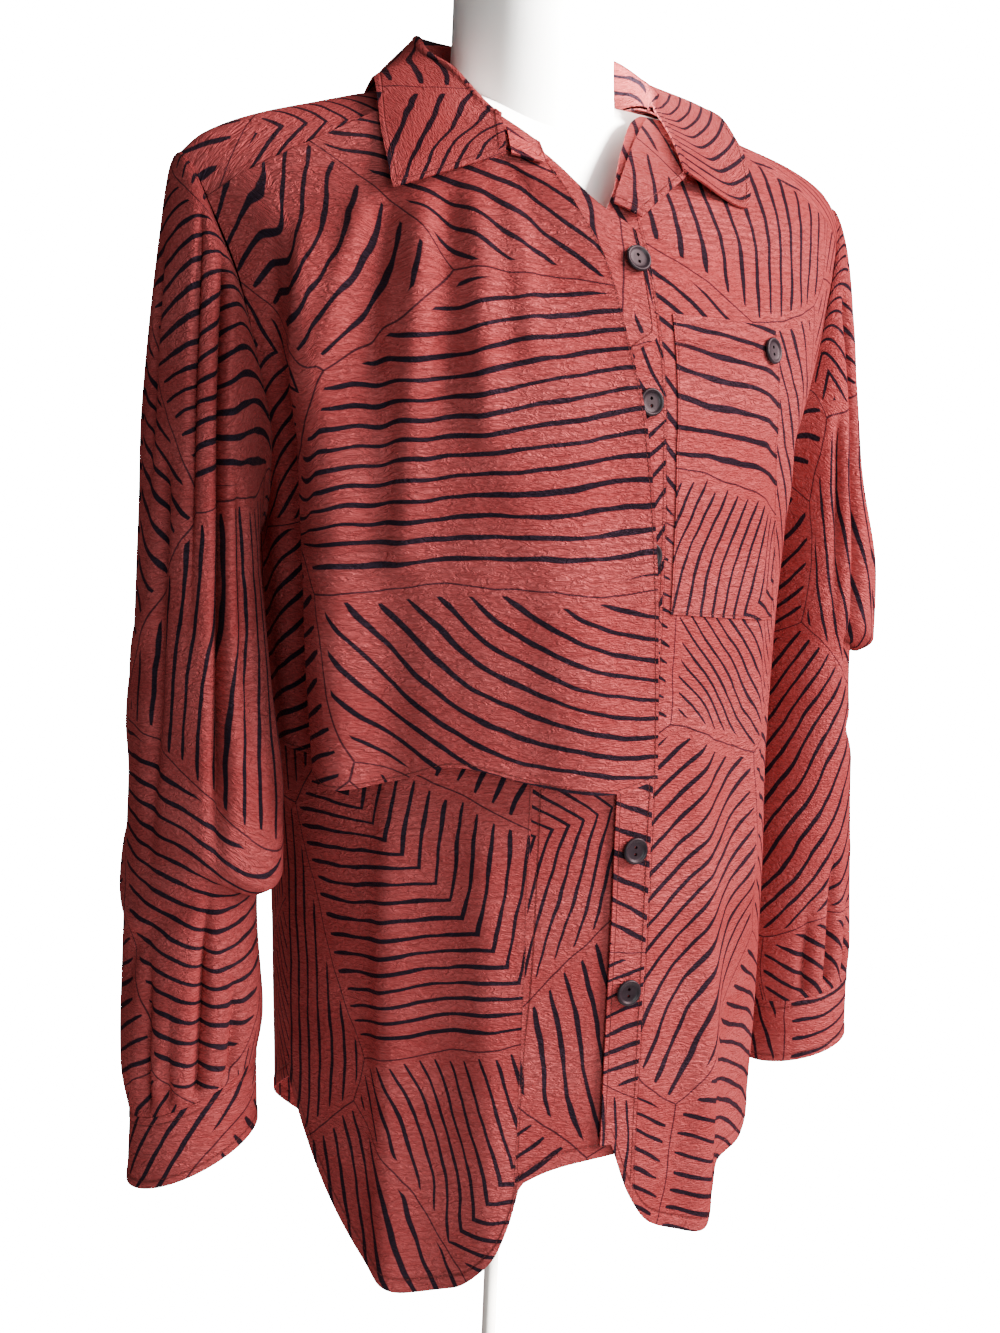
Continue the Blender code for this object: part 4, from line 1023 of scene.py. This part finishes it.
def make_sleeves(material):
    for side, name in ((-1, "right"), (1, "left")):
        s, t = spread("sleeve")
        points, angle, height = sleeve_points(side, s, t)
        cloth(name + "_sleeve", points, angle * SLEEVE_RADIUS, height, material,
              (("low", SEAM_STITCH, False),), held="gathered", ring=True, flip=side > 0)
        s, t = spread("cuff")
        points, angle = cuff_points(side, s, t)
        cloth(name + "_cuff", points, angle * CUFF_RADIUS, points[..., 2], material,
              (("low", EDGE_STITCH, True), ("high", EDGE_STITCH, True)),
              rests_on=(name + "_sleeve",), ring=True, flip=side > 0)


# Pocket, buttons and stitching

def make_pocket(material):
    top_inner, top_outer, low_outer, low_inner = [np.array(on_front(x, height)) for x, height in POCKET]
    s, t = spread("pocket")
    low, high = mix(low_inner, low_outer, s[..., None]), mix(top_inner, top_outer, s[..., None])
    place = mix(low, high, t[..., None])
    girth, level = place[..., 0], place[..., 1]
    points = front_points(1, girth, level, LAYER)
    sewn = [(side, SEAM_STITCH, True) for side in ("left", "right", "low")] + [("high", POCKET_HEM, True)]
    cloth("pocket", points, girth * GIRTH_RADIUS, up_from_hem(points), material, sewn,
          rests_on=("left_front",), thick=POCKET_SHEET, lift=SKIN + SHEET + POCKET_CLEAR - LAYER)


def turned(profile, segments):
    """A closed turned mesh. profile is radius and height, from the lower to the upper centre."""
    mesh = bmesh.new()
    rings = []
    for radius, height in profile:
        count = 1 if radius == 0 else segments
        angles = [2 * math.pi * i / segments for i in range(count)]
        rings.append([mesh.verts.new((radius * math.cos(a), radius * math.sin(a), height)) for a in angles])
    for low, high in zip(rings, rings[1:]):
        for i in range(segments):
            k = (i + 1) % segments
            corners = [low[i % len(low)], low[k % len(low)], high[k % len(high)], high[i % len(high)]]
            mesh.faces.new(list(dict.fromkeys(corners)))
    bmesh.ops.recalc_face_normals(mesh, faces=mesh.faces)
    data = bpy.data.meshes.new("turned")
    mesh.to_mesh(data)
    mesh.free()
    return data


def button_form():
    """A dished disc with a rounded rim and two holes one over the other."""
    r, h = BUTTON_RADIUS, BUTTON_THICKNESS
    profile = [(across * r, up * h) for across, up in BUTTON_PROFILE]
    body = bpy.data.objects.new("button blank", turned(profile, 56))
    drill_profile = ((0, -h), (BUTTON_HOLE * r, -h), (BUTTON_HOLE * r, 2 * h), (0, 2 * h))
    drills = bmesh.new()
    for height in (-BUTTON_HOLE_PLACE * r, BUTTON_HOLE_PLACE * r):
        hole = turned(drill_profile, 20)
        hole.transform(Matrix.Translation((0, height, 0)))
        drills.from_mesh(hole)
    drill_data = bpy.data.meshes.new("button drills")
    drills.to_mesh(drill_data)
    drills.free()
    drill = bpy.data.objects.new("button drills", drill_data)
    for item in (body, drill):
        bpy.context.scene.collection.objects.link(item)
    cut = body.modifiers.new("holes", "BOOLEAN")
    cut.operation = "DIFFERENCE"
    cut.object = drill
    data = bpy.data.meshes.new_from_object(body.evaluated_get(bpy.context.evaluated_depsgraph_get()))
    for item in (body, drill):
        bpy.data.objects.remove(item)
    return data


def make_buttons(material):
    form = button_form()
    spots = []
    girth, level = on_front(0.0, TOP_BUTTON)
    spots.append(("button_1", girth, level, float(read(RIGHT_EDGE, level, 2)) + CLOTH))
    for number in range(BAND_BUTTONS - 1):
        girth, level = on_front(0.0, SECOND_BUTTON - number * BUTTON_SPACING)
        spots.append((f"button_{number + 2}", girth, level, CLOTH + float(fold_height(1, girth, level))))
    girth, level = on_front(*POCKET_BUTTON)
    spots.append(("pocket_button", girth, level, LAYER + CLOTH))
    for name, girth, level, lift in spots:
        out = Vector(body_out(girth, level))
        place = Vector(body_base(girth, level)) + out * (lift + BUTTON_STANDOFF)
        place_button(name, form, place, out, material)
    for side, name in ((-1, "right"), (1, "left")):
        shares = [np.array(CUFF_BUTTON_SHARE + d) for d in (-0.01, 0.0, 0.01)]
        near = [Vector(cuff_points(side, share, np.array(0.5))[0]) for share in shares]
        out = (near[2] - near[0]).cross(Vector((0, 0, 1))).normalized()
        if out.dot(near[1] - Vector((side * CUFF_CENTRE[0], CUFF_CENTRE[1], near[1].z))) < 0:
            out = -out
        place_button(name + "_cuff_button", form, near[1] + out * (CLOTH + BUTTON_STANDOFF), out, material)


def place_button(name, form, place, out, material):
    side = Vector((0, 0, 1)).cross(out).normalized()
    up = out.cross(side)
    turn = Matrix((side, up, out)).transposed().to_4x4()
    data = form.copy()
    data.transform(Matrix.Translation(place) @ turn)
    piece = add_piece(name + "_moulded", data, material, sharp=40.0)
    dress(piece, [name])


def stitch_tree():
    """Short rounded stitches along every line of a wire mesh."""
    tree = bpy.data.node_groups.new("stitch row", "GeometryNodeTree")
    face = tree.interface
    face.new_socket("Geometry", in_out="INPUT", socket_type="NodeSocketGeometry")
    for name in ("Pitch", "Length", "Thread"):
        face.new_socket(name, in_out="INPUT", socket_type="NodeSocketFloat")
    face.new_socket("Material", in_out="INPUT", socket_type="NodeSocketMaterial")
    face.new_socket("Geometry", in_out="OUTPUT", socket_type="NodeSocketGeometry")
    start = tree.nodes.new("NodeGroupInput")
    lines = put(tree, "GeometryNodeMeshToCurve", {"Mesh": start.outputs["Geometry"]})
    every = {"Curve": lines.outputs[0], "Length": start.outputs["Pitch"]}
    points = put(tree, "GeometryNodeCurveToPoints", every, mode="LENGTH")
    ball = put(tree, "GeometryNodeMeshUVSphere", {"Segments": 6, "Rings": 4, "Radius": 0.5})
    size = put(tree, "ShaderNodeCombineXYZ", {0: start.outputs["Thread"], 1: start.outputs["Thread"],
                                              2: start.outputs["Length"]})
    bead = put(tree, "GeometryNodeTransform", {"Geometry": ball.outputs[0], "Scale": size.outputs[0]})
    rows = put(tree, "GeometryNodeInstanceOnPoints", {"Points": points.outputs["Points"],
                                                      "Instance": bead.outputs[0],
                                                      "Rotation": points.outputs["Rotation"]})
    real = put(tree, "GeometryNodeRealizeInstances", {0: rows.outputs[0]})
    painted = put(tree, "GeometryNodeSetMaterial", {"Geometry": real.outputs[0],
                                                    "Material": start.outputs["Material"]})
    end = tree.nodes.new("NodeGroupOutput")
    tree.links.new(painted.outputs[0], end.inputs[0])
    return tree


def make_stitching(material):
    vertices, edges = [], []
    for row in stitch_rows:
        first = len(vertices)
        vertices.extend(row.tolist())
        edges.extend((first + i, first + i + 1) for i in range(len(row) - 1))
    data = bpy.data.meshes.new("stitch lines")
    data.from_pydata(vertices, edges, [])
    lines = bpy.data.objects.new("stitch lines", data)
    bpy.context.scene.collection.objects.link(lines)
    modifier = lines.modifiers.new("stitches", "NODES")
    tree = stitch_tree()
    modifier.node_group = tree
    values = {"Pitch": STITCH_PITCH, "Length": STITCH_LENGTH, "Thread": THREAD, "Material": material}
    for item in tree.interface.items_tree:
        if item.in_out == "INPUT" and item.name in values:
            modifier[item.identifier] = values[item.name]
    mesh = bpy.data.meshes.new_from_object(lines.evaluated_get(bpy.context.evaluated_depsgraph_get()))
    bpy.data.objects.remove(lines)
    piece = add_piece("stitching", mesh, material)
    dress(piece, [])


# Dress form, pole and base

def make_form(skin, metal):
    sines = np.sin(np.radians(np.linspace(-90.0, 90.0, FORM_GRID[0])))
    back = np.linspace(0.0, 1.0, FORM_GRID[1]) ** FORM_CLOSER
    shares = np.concatenate([-back[:0:-1], back])
    sine, lean = np.meshgrid(sines, shares)
    front = lean <= 0
    level = RIDGE_LEVEL - np.abs(lean) * (RIDGE_LEVEL - FORM_BOTTOM)
    low = np.minimum(level, CHEST)
    climb = np.clip((level - CHEST) / ARCH_RADIUS, 0.0, math.pi / 2)
    share = np.sin(climb)
    shoulder = mix(FORM_SECTIONS[-1][1], FORM_SHOULDER, share)
    half = np.where(level <= CHEST, read(FORM_SECTIONS, low, 1), shoulder)
    depth = np.where(front, read(FORM_SECTIONS, low, 2), read(FORM_SECTIONS, low, 3))
    depth = depth * np.where(front, arch(climb, FRONT_ARCH), arch(climb, BACK_ARCH))
    away = FORM_SHOULDER * np.abs(sine)
    near_neck = 1.0 - smooth((away - NECK_DROP_AWAY[0]) / NECK_DROP_AWAY[1])
    drop = FORM_SHOULDER_DROP * np.abs(sine) ** 8 + FORM_NECK_DROP * near_neck
    top = read(SHOULDER_LINE, away, 1) - FORM_GAP - drop
    height = np.where(level <= CHEST, level, CHEST + (top - CHEST) * share)
    cosine = np.sqrt(np.maximum(0.0, 1.0 - sine * sine))
    points = np.stack([half * sine, np.where(front, -1.0, 1.0) * depth * cosine, height], -1)
    rows, columns = points.shape[:2]
    index = np.arange(rows * columns).reshape(rows, columns)
    faces = np.stack([index[:-1, :-1], index[:-1, 1:], index[1:, 1:], index[1:, :-1]], -1).reshape(-1, 4)
    bottom = np.stack([index[0, :-1], index[0, 1:], index[-1, 1:], index[-1, :-1]], -1)
    data = bpy.data.meshes.new("form")
    data.from_pydata(points.reshape(-1, 3).tolist(), [], np.concatenate([faces, bottom]).tolist())
    mesh = bmesh.new()
    mesh.from_mesh(data)
    bmesh.ops.remove_doubles(mesh, verts=mesh.verts, dist=0.00002)
    bmesh.ops.recalc_face_normals(mesh, faces=mesh.faces)
    mesh.to_mesh(data)
    mesh.free()
    torso = bpy.data.objects.new("form", data)
    heights = np.linspace(NECK_PROFILE[0][0], NECK_PROFILE[-1][0], 60)
    profile = [(0, heights[0]), *zip(read(NECK_PROFILE, heights, 1), heights), (0, heights[-1])]
    neck_data = turned(profile, 96)
    neck_data.transform(Matrix.Translation((0, NECK_CENTRE_Y, 0)))
    neck = bpy.data.objects.new("neck", neck_data)
    for item in (torso, neck):
        bpy.context.scene.collection.objects.link(item)
    join = torso.modifiers.new("neck", "BOOLEAN")
    join.operation = "UNION"
    join.object = neck
    whole = bpy.data.meshes.new_from_object(torso.evaluated_get(bpy.context.evaluated_depsgraph_get()))
    for item in (torso, neck):
        bpy.data.objects.remove(item)
    shell_piece = add_piece("form_shell", whole, skin, sharp=35.0)
    dress(shell_piece, ["form_torso"])
    pole_top, pole_foot = FORM_BOTTOM - JOINT_GAP, BASE_HEIGHT + JOINT_GAP
    pole = turned(((0, pole_foot), (POLE_RADIUS, pole_foot), (POLE_RADIUS, pole_top), (0, pole_top)), 40)
    pole_piece = add_piece("pole_tube", pole, metal, sharp=35.0)
    dress(pole_piece, ["form_pole"])
    plate = ((0, 0), (BASE_RADIUS - 1 * MM, 0), (BASE_RADIUS, 1 * MM), (BASE_RADIUS, BASE_RIM),
             (BASE_RADIUS - 2 * MM, BASE_RIM + 2 * MM), (BASE_RADIUS - BASE_RIM, 9 * MM),
             (0.030, BASE_HEIGHT), (0, BASE_HEIGHT))
    dress(add_piece("base_plate", turned(plate, 128), metal, sharp=35.0), ["form_base"])
    return shell_piece, pole_piece


# Materials

def put(tree, kind, inputs=(), **settings):
    """Add a node. inputs maps a socket's name or number to a value or to another node's output."""
    item = tree.nodes.new(kind)
    for name, value in settings.items():
        setattr(item, name, value)
    for key, value in dict(inputs).items():
        if isinstance(value, bpy.types.NodeSocket):
            tree.links.new(value, item.inputs[key])
        else:
            item.inputs[key].default_value = value
    return item


def calc(tree, operation, *values):
    return put(tree, "ShaderNodeMath", dict(enumerate(values)), operation=operation).outputs[0]


def vector_calc(tree, operation, first, second):
    """second is a vector, or a number where the operation is SCALE."""
    key = "Scale" if operation == "SCALE" else 1
    return put(tree, "ShaderNodeVectorMath", {0: first, key: second}, operation=operation).outputs[0]


def noise(tree, place, scale, detail=2.0, flat=False, **more):
    inputs = {"Vector": place, "Scale": scale, "Detail": detail, **more}
    return put(tree, "ShaderNodeTexNoise", inputs, noise_dimensions="2D" if flat else "3D").outputs


def step(tree, value, low, high, start=0.0, end=1.0):
    """An eased step of value between low and high."""
    limits = {"Value": value, "From Min": low, "From Max": high, "To Min": start, "To Max": end}
    return put(tree, "ShaderNodeMapRange", limits, interpolation_type="SMOOTHSTEP").outputs[0]


def shader_group(name, inputs, outputs):
    tree = bpy.data.node_groups.new(name, "ShaderNodeTree")
    for label, kind, value in inputs:
        socket = tree.interface.new_socket(label, in_out="INPUT", socket_type=kind)
        if value is not None:
            socket.default_value = value
    for label, kind in outputs:
        tree.interface.new_socket(label, in_out="OUTPUT", socket_type=kind)
    return tree, tree.nodes.new("NodeGroupInput").outputs, tree.nodes.new("NodeGroupOutput").inputs


def drawn_stripes():
    """Patches of brush-drawn stripes, each patch at its own slant, parted by fine lines."""
    sizes = [(label, "NodeSocketFloat", size) for label, size in PRINT_SIZES.items()]
    tree, given, result = shader_group(
        "drawn stripes", (("Vector", "NodeSocketVector", None), *sizes), (("Ink", "NodeSocketFloat"),))
    spot = given["Vector"]
    for scale, reach in PRINT_DRIFTS:
        drift = noise(tree, given["Vector"], scale, 0.0, flat=True)["Color"]
        drift = vector_calc(tree, "SUBTRACT", drift, (0.5, 0.5, 0.5))
        spot = vector_calc(tree, "ADD", spot, vector_calc(tree, "SCALE", drift, reach))
    cells = {"Vector": spot, "Scale": calc(tree, "DIVIDE", 1.0, given["Patch"]), "Randomness": PATCH_SPREAD}
    cell = put(tree, "ShaderNodeTexVoronoi", cells, voronoi_dimensions="2D", feature="F1")
    rim = put(tree, "ShaderNodeTexVoronoi", cells, voronoi_dimensions="2D", feature="DISTANCE_TO_EDGE")
    to_rim = calc(tree, "MULTIPLY", rim.outputs["Distance"], given["Patch"])
    local = vector_calc(tree, "SUBTRACT", spot, cell.outputs["Position"])
    luck = put(tree, "ShaderNodeSeparateColor", {"Color": cell.outputs["Color"]})
    slant = calc(tree, "MULTIPLY", luck.outputs[0], 2 * math.pi)
    turned_spot = put(tree, "ShaderNodeVectorRotate", {"Vector": local, "Angle": slant},
                      rotation_type="Z_AXIS")
    parts = put(tree, "ShaderNodeSeparateXYZ", {0: turned_spot.outputs[0]})
    sideways = calc(tree, "ABSOLUTE", parts.outputs[1])
    chevron = calc(tree, "GREATER_THAN", luck.outputs[1], CHEVRON_ABOVE)
    bent = calc(tree, "MULTIPLY", calc(tree, "MULTIPLY", chevron, CHEVRON_SLOPE), sideways)
    bow = calc(tree, "MULTIPLY", calc(tree, "SUBTRACT", luck.outputs[2], 0.5), STRIPE_BOW)
    bow = calc(tree, "MULTIPLY", bow, calc(tree, "MULTIPLY", sideways, sideways))
    across = calc(tree, "ADD", parts.outputs[0], calc(tree, "ADD", bent, bow))
    count = calc(tree, "DIVIDE", across, given["Pitch"])
    stripe = calc(tree, "FLOOR", count)
    off = calc(tree, "ABSOLUTE", calc(tree, "SUBTRACT", calc(tree, "SUBTRACT", count, stripe), 0.5))
    off = calc(tree, "MULTIPLY", off, given["Pitch"])
    chance = put(tree, "ShaderNodeTexWhiteNoise", {"Vector": cell.outputs["Position"], "W": stripe},
                 noise_dimensions="4D")
    gap = calc(tree, "ADD", STRIPE_GAP[0], calc(tree, "MULTIPLY", chance.outputs["Value"], STRIPE_GAP[1]))
    inside = calc(tree, "SUBTRACT", to_rim, gap)
    press = noise(tree, given["Vector"], STROKE_NOISE, 1.0, flat=True)[0]
    stroke = calc(tree, "MULTIPLY", given["Width"], step(tree, press, 0.3, 0.7, 0.40, 0.60))
    stroke = calc(tree, "MULTIPLY", stroke, step(tree, inside, 0.0, STRIPE_TAPER, 0.62, 1.0))
    on_stripe = step(tree, calc(tree, "SUBTRACT", off, stroke), -INK_EDGE, INK_EDGE, 1.0, 0.0)
    on_stripe = calc(tree, "MULTIPLY", on_stripe, step(tree, inside, 0.0, 2 * INK_EDGE))
    on_line = step(tree, to_rim, calc(tree, "MULTIPLY", given["Line"], 0.4), given["Line"], 0.85, 0.0)
    tree.links.new(calc(tree, "MAXIMUM", on_stripe, on_line), result["Ink"])
    return tree


def sand_washed():
    """The fine crumple of washed silk: a height and a slow unevenness of tone."""
    tree, given, result = shader_group("sand washed", (
        ("Vector", "NodeSocketVector", None), ("Fineness", "NodeSocketFloat", 1.0)),
        (("Height", "NodeSocketFloat"), ("Tone", "NodeSocketFloat")))
    wide = vector_calc(tree, "MULTIPLY", given["Vector"], CRUMPLE_STRETCH)
    spot = vector_calc(tree, "SCALE", wide, given["Fineness"])
    ridges = noise(tree, spot, CRUMPLE_NOISE["ridges"], flat=True, Roughness=0.6, Distortion=0.7)[0]
    fine = noise(tree, spot, CRUMPLE_NOISE["fine"], flat=True)[0]
    slow = noise(tree, spot, CRUMPLE_NOISE["slow"], flat=True)[0]
    fold = calc(tree, "ABSOLUTE", calc(tree, "SUBTRACT", calc(tree, "MULTIPLY", ridges, 2.0), 1.0))
    sharp = calc(tree, "SUBTRACT", 1.0, calc(tree, "POWER", calc(tree, "MULTIPLY", fold, 3.0), 0.7))
    amount = step(tree, slow, 0.3, 0.75, 0.45, 1.0)
    height = calc(tree, "MULTIPLY", sharp, amount)
    height = calc(tree, "ADD", height, calc(tree, "MULTIPLY", fine, 1.1))
    tree.links.new(height, result["Height"])
    tree.links.new(slow, result["Tone"])
    return tree


def new_material(name, colour, roughness):
    material = bpy.data.materials.new(name)
    material.use_nodes = True
    tree = material.node_tree
    shader = tree.nodes["Principled BSDF"]
    shader.inputs["Base Color"].default_value = (*colour, 1.0)
    shader.inputs["Roughness"].default_value = roughness
    return material, tree, shader


def colour_mix(tree, share, low, high):
    """A blend of two colours. Each is red, green and blue, or another node's output."""
    ends = [end if isinstance(end, bpy.types.NodeSocket) else (*end, 1.0) for end in (low, high)]
    return put(tree, "ShaderNodeMix", {0: share, 6: ends[0], 7: ends[1]}, data_type="RGBA").outputs[2]


def place_on_piece(tree):
    return put(tree, "ShaderNodeTexCoord").outputs["Object"]


def cloth_material():
    material, tree, shader = new_material("printed washed silk", (0.4, 0.05, 0.045), 0.5)
    chart = put(tree, "ShaderNodeUVMap", uv_map="cloth").outputs[0]
    ink = put(tree, "ShaderNodeGroup", {}, node_tree=drawn_stripes())
    tree.links.new(chart, ink.inputs["Vector"])
    for name, size in PRINT_SIZES.items():
        ink.inputs[name].default_value = size
    crumple = put(tree, "ShaderNodeGroup", {}, node_tree=sand_washed())
    tree.links.new(chart, crumple.inputs["Vector"])
    tone = step(tree, crumple.outputs["Tone"], 0.3, 0.7)
    rust = colour_mix(tree, tone, RUST_DEEP, RUST_BRIGHT)
    # Painted highlight: the cloth is made lighter on the crumple's ridges, as if they caught the light
    ridge_highlight = step(tree, crumple.outputs["Height"], 0.3, 1.5, 0.0, 0.45)
    rust = colour_mix(tree, ridge_highlight, rust, RUST_RIDGE_HIGHLIGHT)
    navy = colour_mix(tree, tone, NAVY_DEEP, NAVY_PALE)
    printed = colour_mix(tree, ink.outputs["Ink"], rust, navy)
    way = put(tree, "ShaderNodeAttribute", attribute_name="stitch_way").outputs["Fac"]
    off_line = calc(tree, "ABSOLUTE", calc(tree, "SUBTRACT", way, 1.0))
    groove = step(tree, off_line, 0.0, 0.22, 1.0, 0.0)
    # Painted shade: the cloth is darkened along each stitch line, where the thread draws it into a groove
    printed = colour_mix(tree, calc(tree, "MULTIPLY", groove, 0.25), printed, STITCH_GROOVE_SHADOW)
    tree.links.new(printed, shader.inputs["Base Color"])
    height = calc(tree, "SUBTRACT", crumple.outputs["Height"], groove)
    bump = put(tree, "ShaderNodeBump", {"Height": height, "Strength": 0.90, "Distance": CRUMPLE_DEPTH})
    tree.links.new(bump.outputs[0], shader.inputs["Normal"])
    tree.links.new(step(tree, crumple.outputs["Height"], 0.2, 1.5, 0.58, 0.42), shader.inputs["Roughness"])
    shader.inputs["Specular IOR Level"].default_value = 0.0
    shader.inputs["Metallic"].default_value = 0.26
    shader.inputs["Specular Tint"].default_value = (1.0, 0.36, 0.34, 1.0)
    shader.inputs["Sheen Weight"].default_value = 0.04
    shader.inputs["Sheen Roughness"].default_value = 0.4
    shader.inputs["Sheen Tint"].default_value = (1.0, 0.4, 0.36, 1.0)
    return material


def thread_material():
    material, tree, shader = new_material("tonal thread", (0.20, 0.04, 0.04), 0.6)
    twist = noise(tree, place_on_piece(tree), 900.0)[0]
    tree.links.new(colour_mix(tree, twist, *THREAD_COLOURS), shader.inputs["Base Color"])
    return material


def button_material():
    material, tree, shader = new_material("dark resin", (0.03, 0.02, 0.025), 0.3)
    swirl = noise(tree, place_on_piece(tree), 90.0)[0]
    tree.links.new(colour_mix(tree, step(tree, swirl, 0.3, 0.7), *RESIN_COLOURS), shader.inputs["Base Color"])
    tree.links.new(step(tree, swirl, 0.3, 0.7, 0.38, 0.46), shader.inputs["Roughness"])
    shader.inputs["Specular IOR Level"].default_value = 0.32
    return material


def painted_material(name, colours, roughness, grain):
    material, tree, shader = new_material(name, colours[1], roughness)
    place = place_on_piece(tree)
    cloud = noise(tree, place, 14.0, 3.0)[0]
    tree.links.new(colour_mix(tree, step(tree, cloud, 0.3, 0.7), *colours), shader.inputs["Base Color"])
    dimple = noise(tree, place, grain)[0]
    bump = put(tree, "ShaderNodeBump", {"Height": dimple, "Strength": 0.15, "Distance": 0.0004})
    tree.links.new(bump.outputs[0], shader.inputs["Normal"])
    rough = step(tree, cloud, 0.2, 0.8, roughness - 0.06, roughness + 0.08)
    tree.links.new(rough, shader.inputs["Roughness"])
    return material


# Stage, lights and camera

def make_stage():
    """A small round floor, so pale and so brightly lit that it fades into the background."""
    material, tree, shader = new_material("pale floor", (0.93, 0.92, 0.90), 0.9)
    cloud = noise(tree, place_on_piece(tree), 1.5)[0]
    tree.links.new(colour_mix(tree, cloud, *FLOOR_COLOURS), shader.inputs["Base Color"])
    shader.inputs["Emission Color"].default_value = (1.0, 0.985, 0.94, 1.0)
    seen = put(tree, "ShaderNodeLightPath").outputs["Is Camera Ray"]
    tree.links.new(calc(tree, "MULTIPLY", seen, FLOOR_GLOW), shader.inputs["Emission Strength"])
    plate = turned(((0, -0.02), (FLOOR_RADIUS, -0.02), (FLOOR_RADIUS, 0), (0, 0)), 96)
    floor = add_piece("floor", plate, material)


def area_light(name):
    place, target, width, power, colour = LAMPS[name]
    data = bpy.data.lights.new(name, "AREA")
    data.shape = "DISK"
    data.size = width
    data.energy = power
    data.color = colour
    lamp = bpy.data.objects.new(name, data)
    lamp.location = place
    lamp.rotation_euler = (Vector(target) - Vector(place)).to_track_quat("-Z", "Y").to_euler()
    bpy.context.scene.collection.objects.link(lamp)
    return lamp


def make_lights():
    world = bpy.data.worlds.new("studio")
    world.use_nodes = True
    tree = world.node_tree
    sky = tree.nodes["Background"]
    sky.inputs["Color"].default_value = (0.97, 1.0, 1.0, 1.0)
    seen = put(tree, "ShaderNodeLightPath").outputs["Is Camera Ray"]
    glow = put(tree, "ShaderNodeMapRange", {"Value": seen, "To Min": ROOM_LIGHT, "To Max": BACKDROP_LIGHT})
    tree.links.new(glow.outputs[0], sky.inputs["Strength"])
    bpy.context.scene.world = world
    area_light("window")
    area_light("room")


def light_form(pieces):
    """The pale form is burnt out in the photograph, so a lamp of its own falls on the form alone."""
    lit = bpy.data.collections.new("form pieces")
    for piece in pieces:
        lit.objects.link(piece)
    lamp = area_light("form lamp")
    lamp.light_linking.receiver_collection = lit


def make_camera():
    turn = CAMERA_AZIMUTH + CAMERA_PAN
    flat = math.cos(CAMERA_PITCH)
    ahead = Vector((-math.sin(turn) * flat, math.cos(turn) * flat, -math.sin(CAMERA_PITCH)))
    right = Vector((math.cos(turn), math.sin(turn), 0.0))
    up = right.cross(ahead)
    data = bpy.data.cameras.new("camera")
    data.sensor_fit = "VERTICAL"
    data.sensor_height = SENSOR
    data.lens = SENSOR * FOCAL_PIXELS / IMAGE_HEIGHT
    data.clip_start = 0.05
    camera = bpy.data.objects.new("camera", data)
    aim = Matrix((right, up, -ahead)).transposed().to_4x4()
    x, y = math.sin(CAMERA_AZIMUTH) * CAMERA_DISTANCE, -math.cos(CAMERA_AZIMUTH) * CAMERA_DISTANCE
    place = Matrix.Translation((x, y, CAMERA_HEIGHT))
    camera.matrix_world = place @ aim @ Matrix.Rotation(CAMERA_ROLL, 4, "Z")
    bpy.context.scene.collection.objects.link(camera)
    bpy.context.scene.camera = camera


make_camera()
make_stage()
make_lights()
silk = cloth_material()
for make in (make_back, make_yoke, make_fronts, make_overlay, make_collar, make_revers, make_pocket,
             make_sleeves):
    make(silk)
make_buttons(button_material())
make_stitching(thread_material())
light_form(make_form(painted_material("form shell", SHELL_COLOURS, 0.5, 300.0),
                     painted_material("satin paint", PAINT_COLOURS, 0.38, 500.0)))

bpy.context.view_layer.update()
